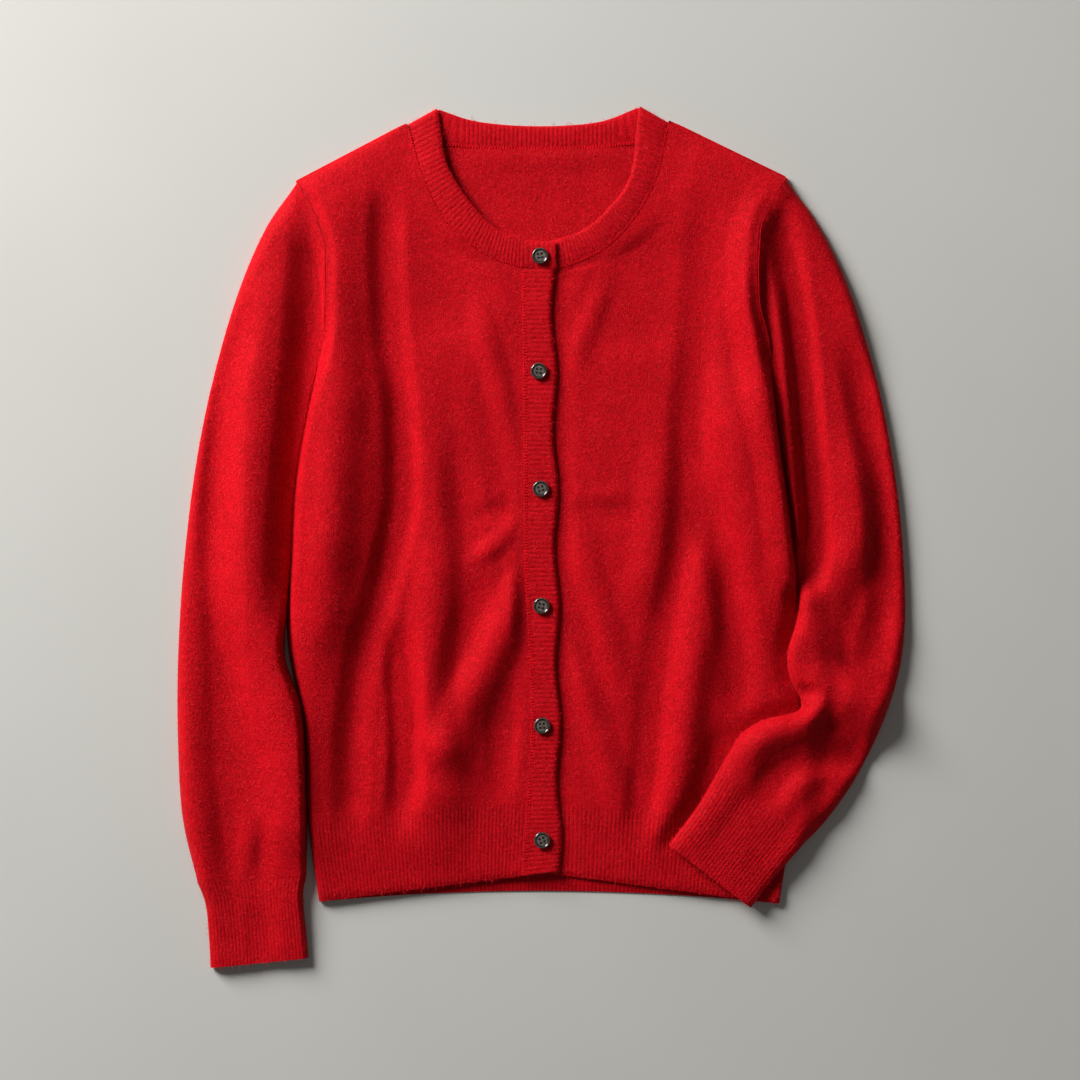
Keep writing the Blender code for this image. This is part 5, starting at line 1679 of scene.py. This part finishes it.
class CardiganColours(bpy.types.PropertyGroup):
    wool: bpy.props.FloatVectorProperty(
        name="Wool", description="Colour of the knitted wool", default=(0.6, 0.001, 0.008),
        subtype="COLOR", size=3, min=0.0, max=1.0,
    )
    button: bpy.props.FloatVectorProperty(
        name="Buttons", description="Middle colour of the shell buttons", default=(0.13, 0.108, 0.095),
        subtype="COLOR", size=3, min=0.0, max=1.0,
    )
    floor: bpy.props.FloatVectorProperty(
        name="Floor", description="Colour of the floor", default=(0.62, 0.615, 0.59),
        subtype="COLOR", size=3, min=0.0, max=1.0,
    )


class CARDIGAN_OT_body(bpy.types.Operator):
    """Make the back, the two fronts and their ribbed hems"""

    bl_idname = "cardigan.body"
    bl_label = "Body panels"

    def execute(self, context):
        back()
        back_hem()
        fronts()
        front_hems()
        return {"FINISHED"}


class CARDIGAN_OT_sleeves(bpy.types.Operator):
    """Make the sleeves and their ribbed cuffs"""

    bl_idname = "cardigan.sleeves"
    bl_label = "Sleeves and cuffs"

    def execute(self, context):
        sleeves()
        cuffs()
        return {"FINISHED"}


class CARDIGAN_OT_bands(bpy.types.Operator):
    """Make the neckband, the buttonhole band and the button band"""

    bl_idname = "cardigan.bands"
    bl_label = "Neckband and button bands"

    def execute(self, context):
        neckband()
        button_band()
        buttonhole_band()
        return {"FINISHED"}


class CARDIGAN_OT_buttons(bpy.types.Operator):
    """Make the six buttons and their thread"""

    bl_idname = "cardigan.buttons"
    bl_label = "Buttons"

    def execute(self, context):
        buttons()
        return {"FINISHED"}


class CARDIGAN_OT_stitches(bpy.types.Operator):
    """Make the stitches that link the bands to the body"""

    bl_idname = "cardigan.stitches"
    bl_label = "Linking stitches"

    def execute(self, context):
        linking_stitches()
        return {"FINISHED"}


class CARDIGAN_OT_fibres(bpy.types.Operator):
    """Strew loose ends of wool over the cloth"""

    bl_idname = "cardigan.fibres"
    bl_label = "Loose fibres"

    def execute(self, context):
        loose_fibres()
        return {"FINISHED"}


class CARDIGAN_OT_stage(bpy.types.Operator):
    """Make the floor, the lights and the camera"""

    bl_idname = "cardigan.stage"
    bl_label = "Stage"

    def execute(self, context):
        stage()
        return {"FINISHED"}


OPERATORS = (
    CARDIGAN_OT_body,
    CARDIGAN_OT_sleeves,
    CARDIGAN_OT_bands,
    CARDIGAN_OT_buttons,
    CARDIGAN_OT_stitches,
    CARDIGAN_OT_fibres,
    CARDIGAN_OT_stage,
)


class CARDIGAN_PT_panel(bpy.types.Panel):
    """Sizes, colours and pieces of the cardigan"""

    bl_idname = "CARDIGAN_PT_panel"
    bl_label = "Button cardigan"
    bl_space_type = "VIEW_3D"
    bl_region_type = "UI"
    bl_category = "Cardigan"

    def draw(self, context):
        for group in (context.scene.cardigan_sizes, context.scene.cardigan_colours):
            for name in group.bl_rna.properties.keys():
                if name not in ("rna_type", "name"):
                    self.layout.prop(group, name)
        for operator in OPERATORS:
            self.layout.operator(operator.bl_idname)


CLASSES = (CardiganSizes, CardiganColours, *OPERATORS, CARDIGAN_PT_panel)


def register():
    for made in CLASSES:
        bpy.utils.register_class(made)
    bpy.types.Scene.cardigan_sizes = bpy.props.PointerProperty(type=CardiganSizes)
    bpy.types.Scene.cardigan_colours = bpy.props.PointerProperty(type=CardiganColours)


def unregister():
    del bpy.types.Scene.cardigan_sizes
    del bpy.types.Scene.cardigan_colours
    for made in reversed(CLASSES):
        bpy.utils.unregister_class(made)


def main():
    register()
    bpy.ops.cardigan.body()
    bpy.ops.cardigan.sleeves()
    bpy.ops.cardigan.bands()
    bpy.ops.cardigan.buttons()
    bpy.ops.cardigan.stitches()
    bpy.ops.cardigan.fibres()
    bpy.ops.cardigan.stage()


if __name__ == "__main__":
    main()
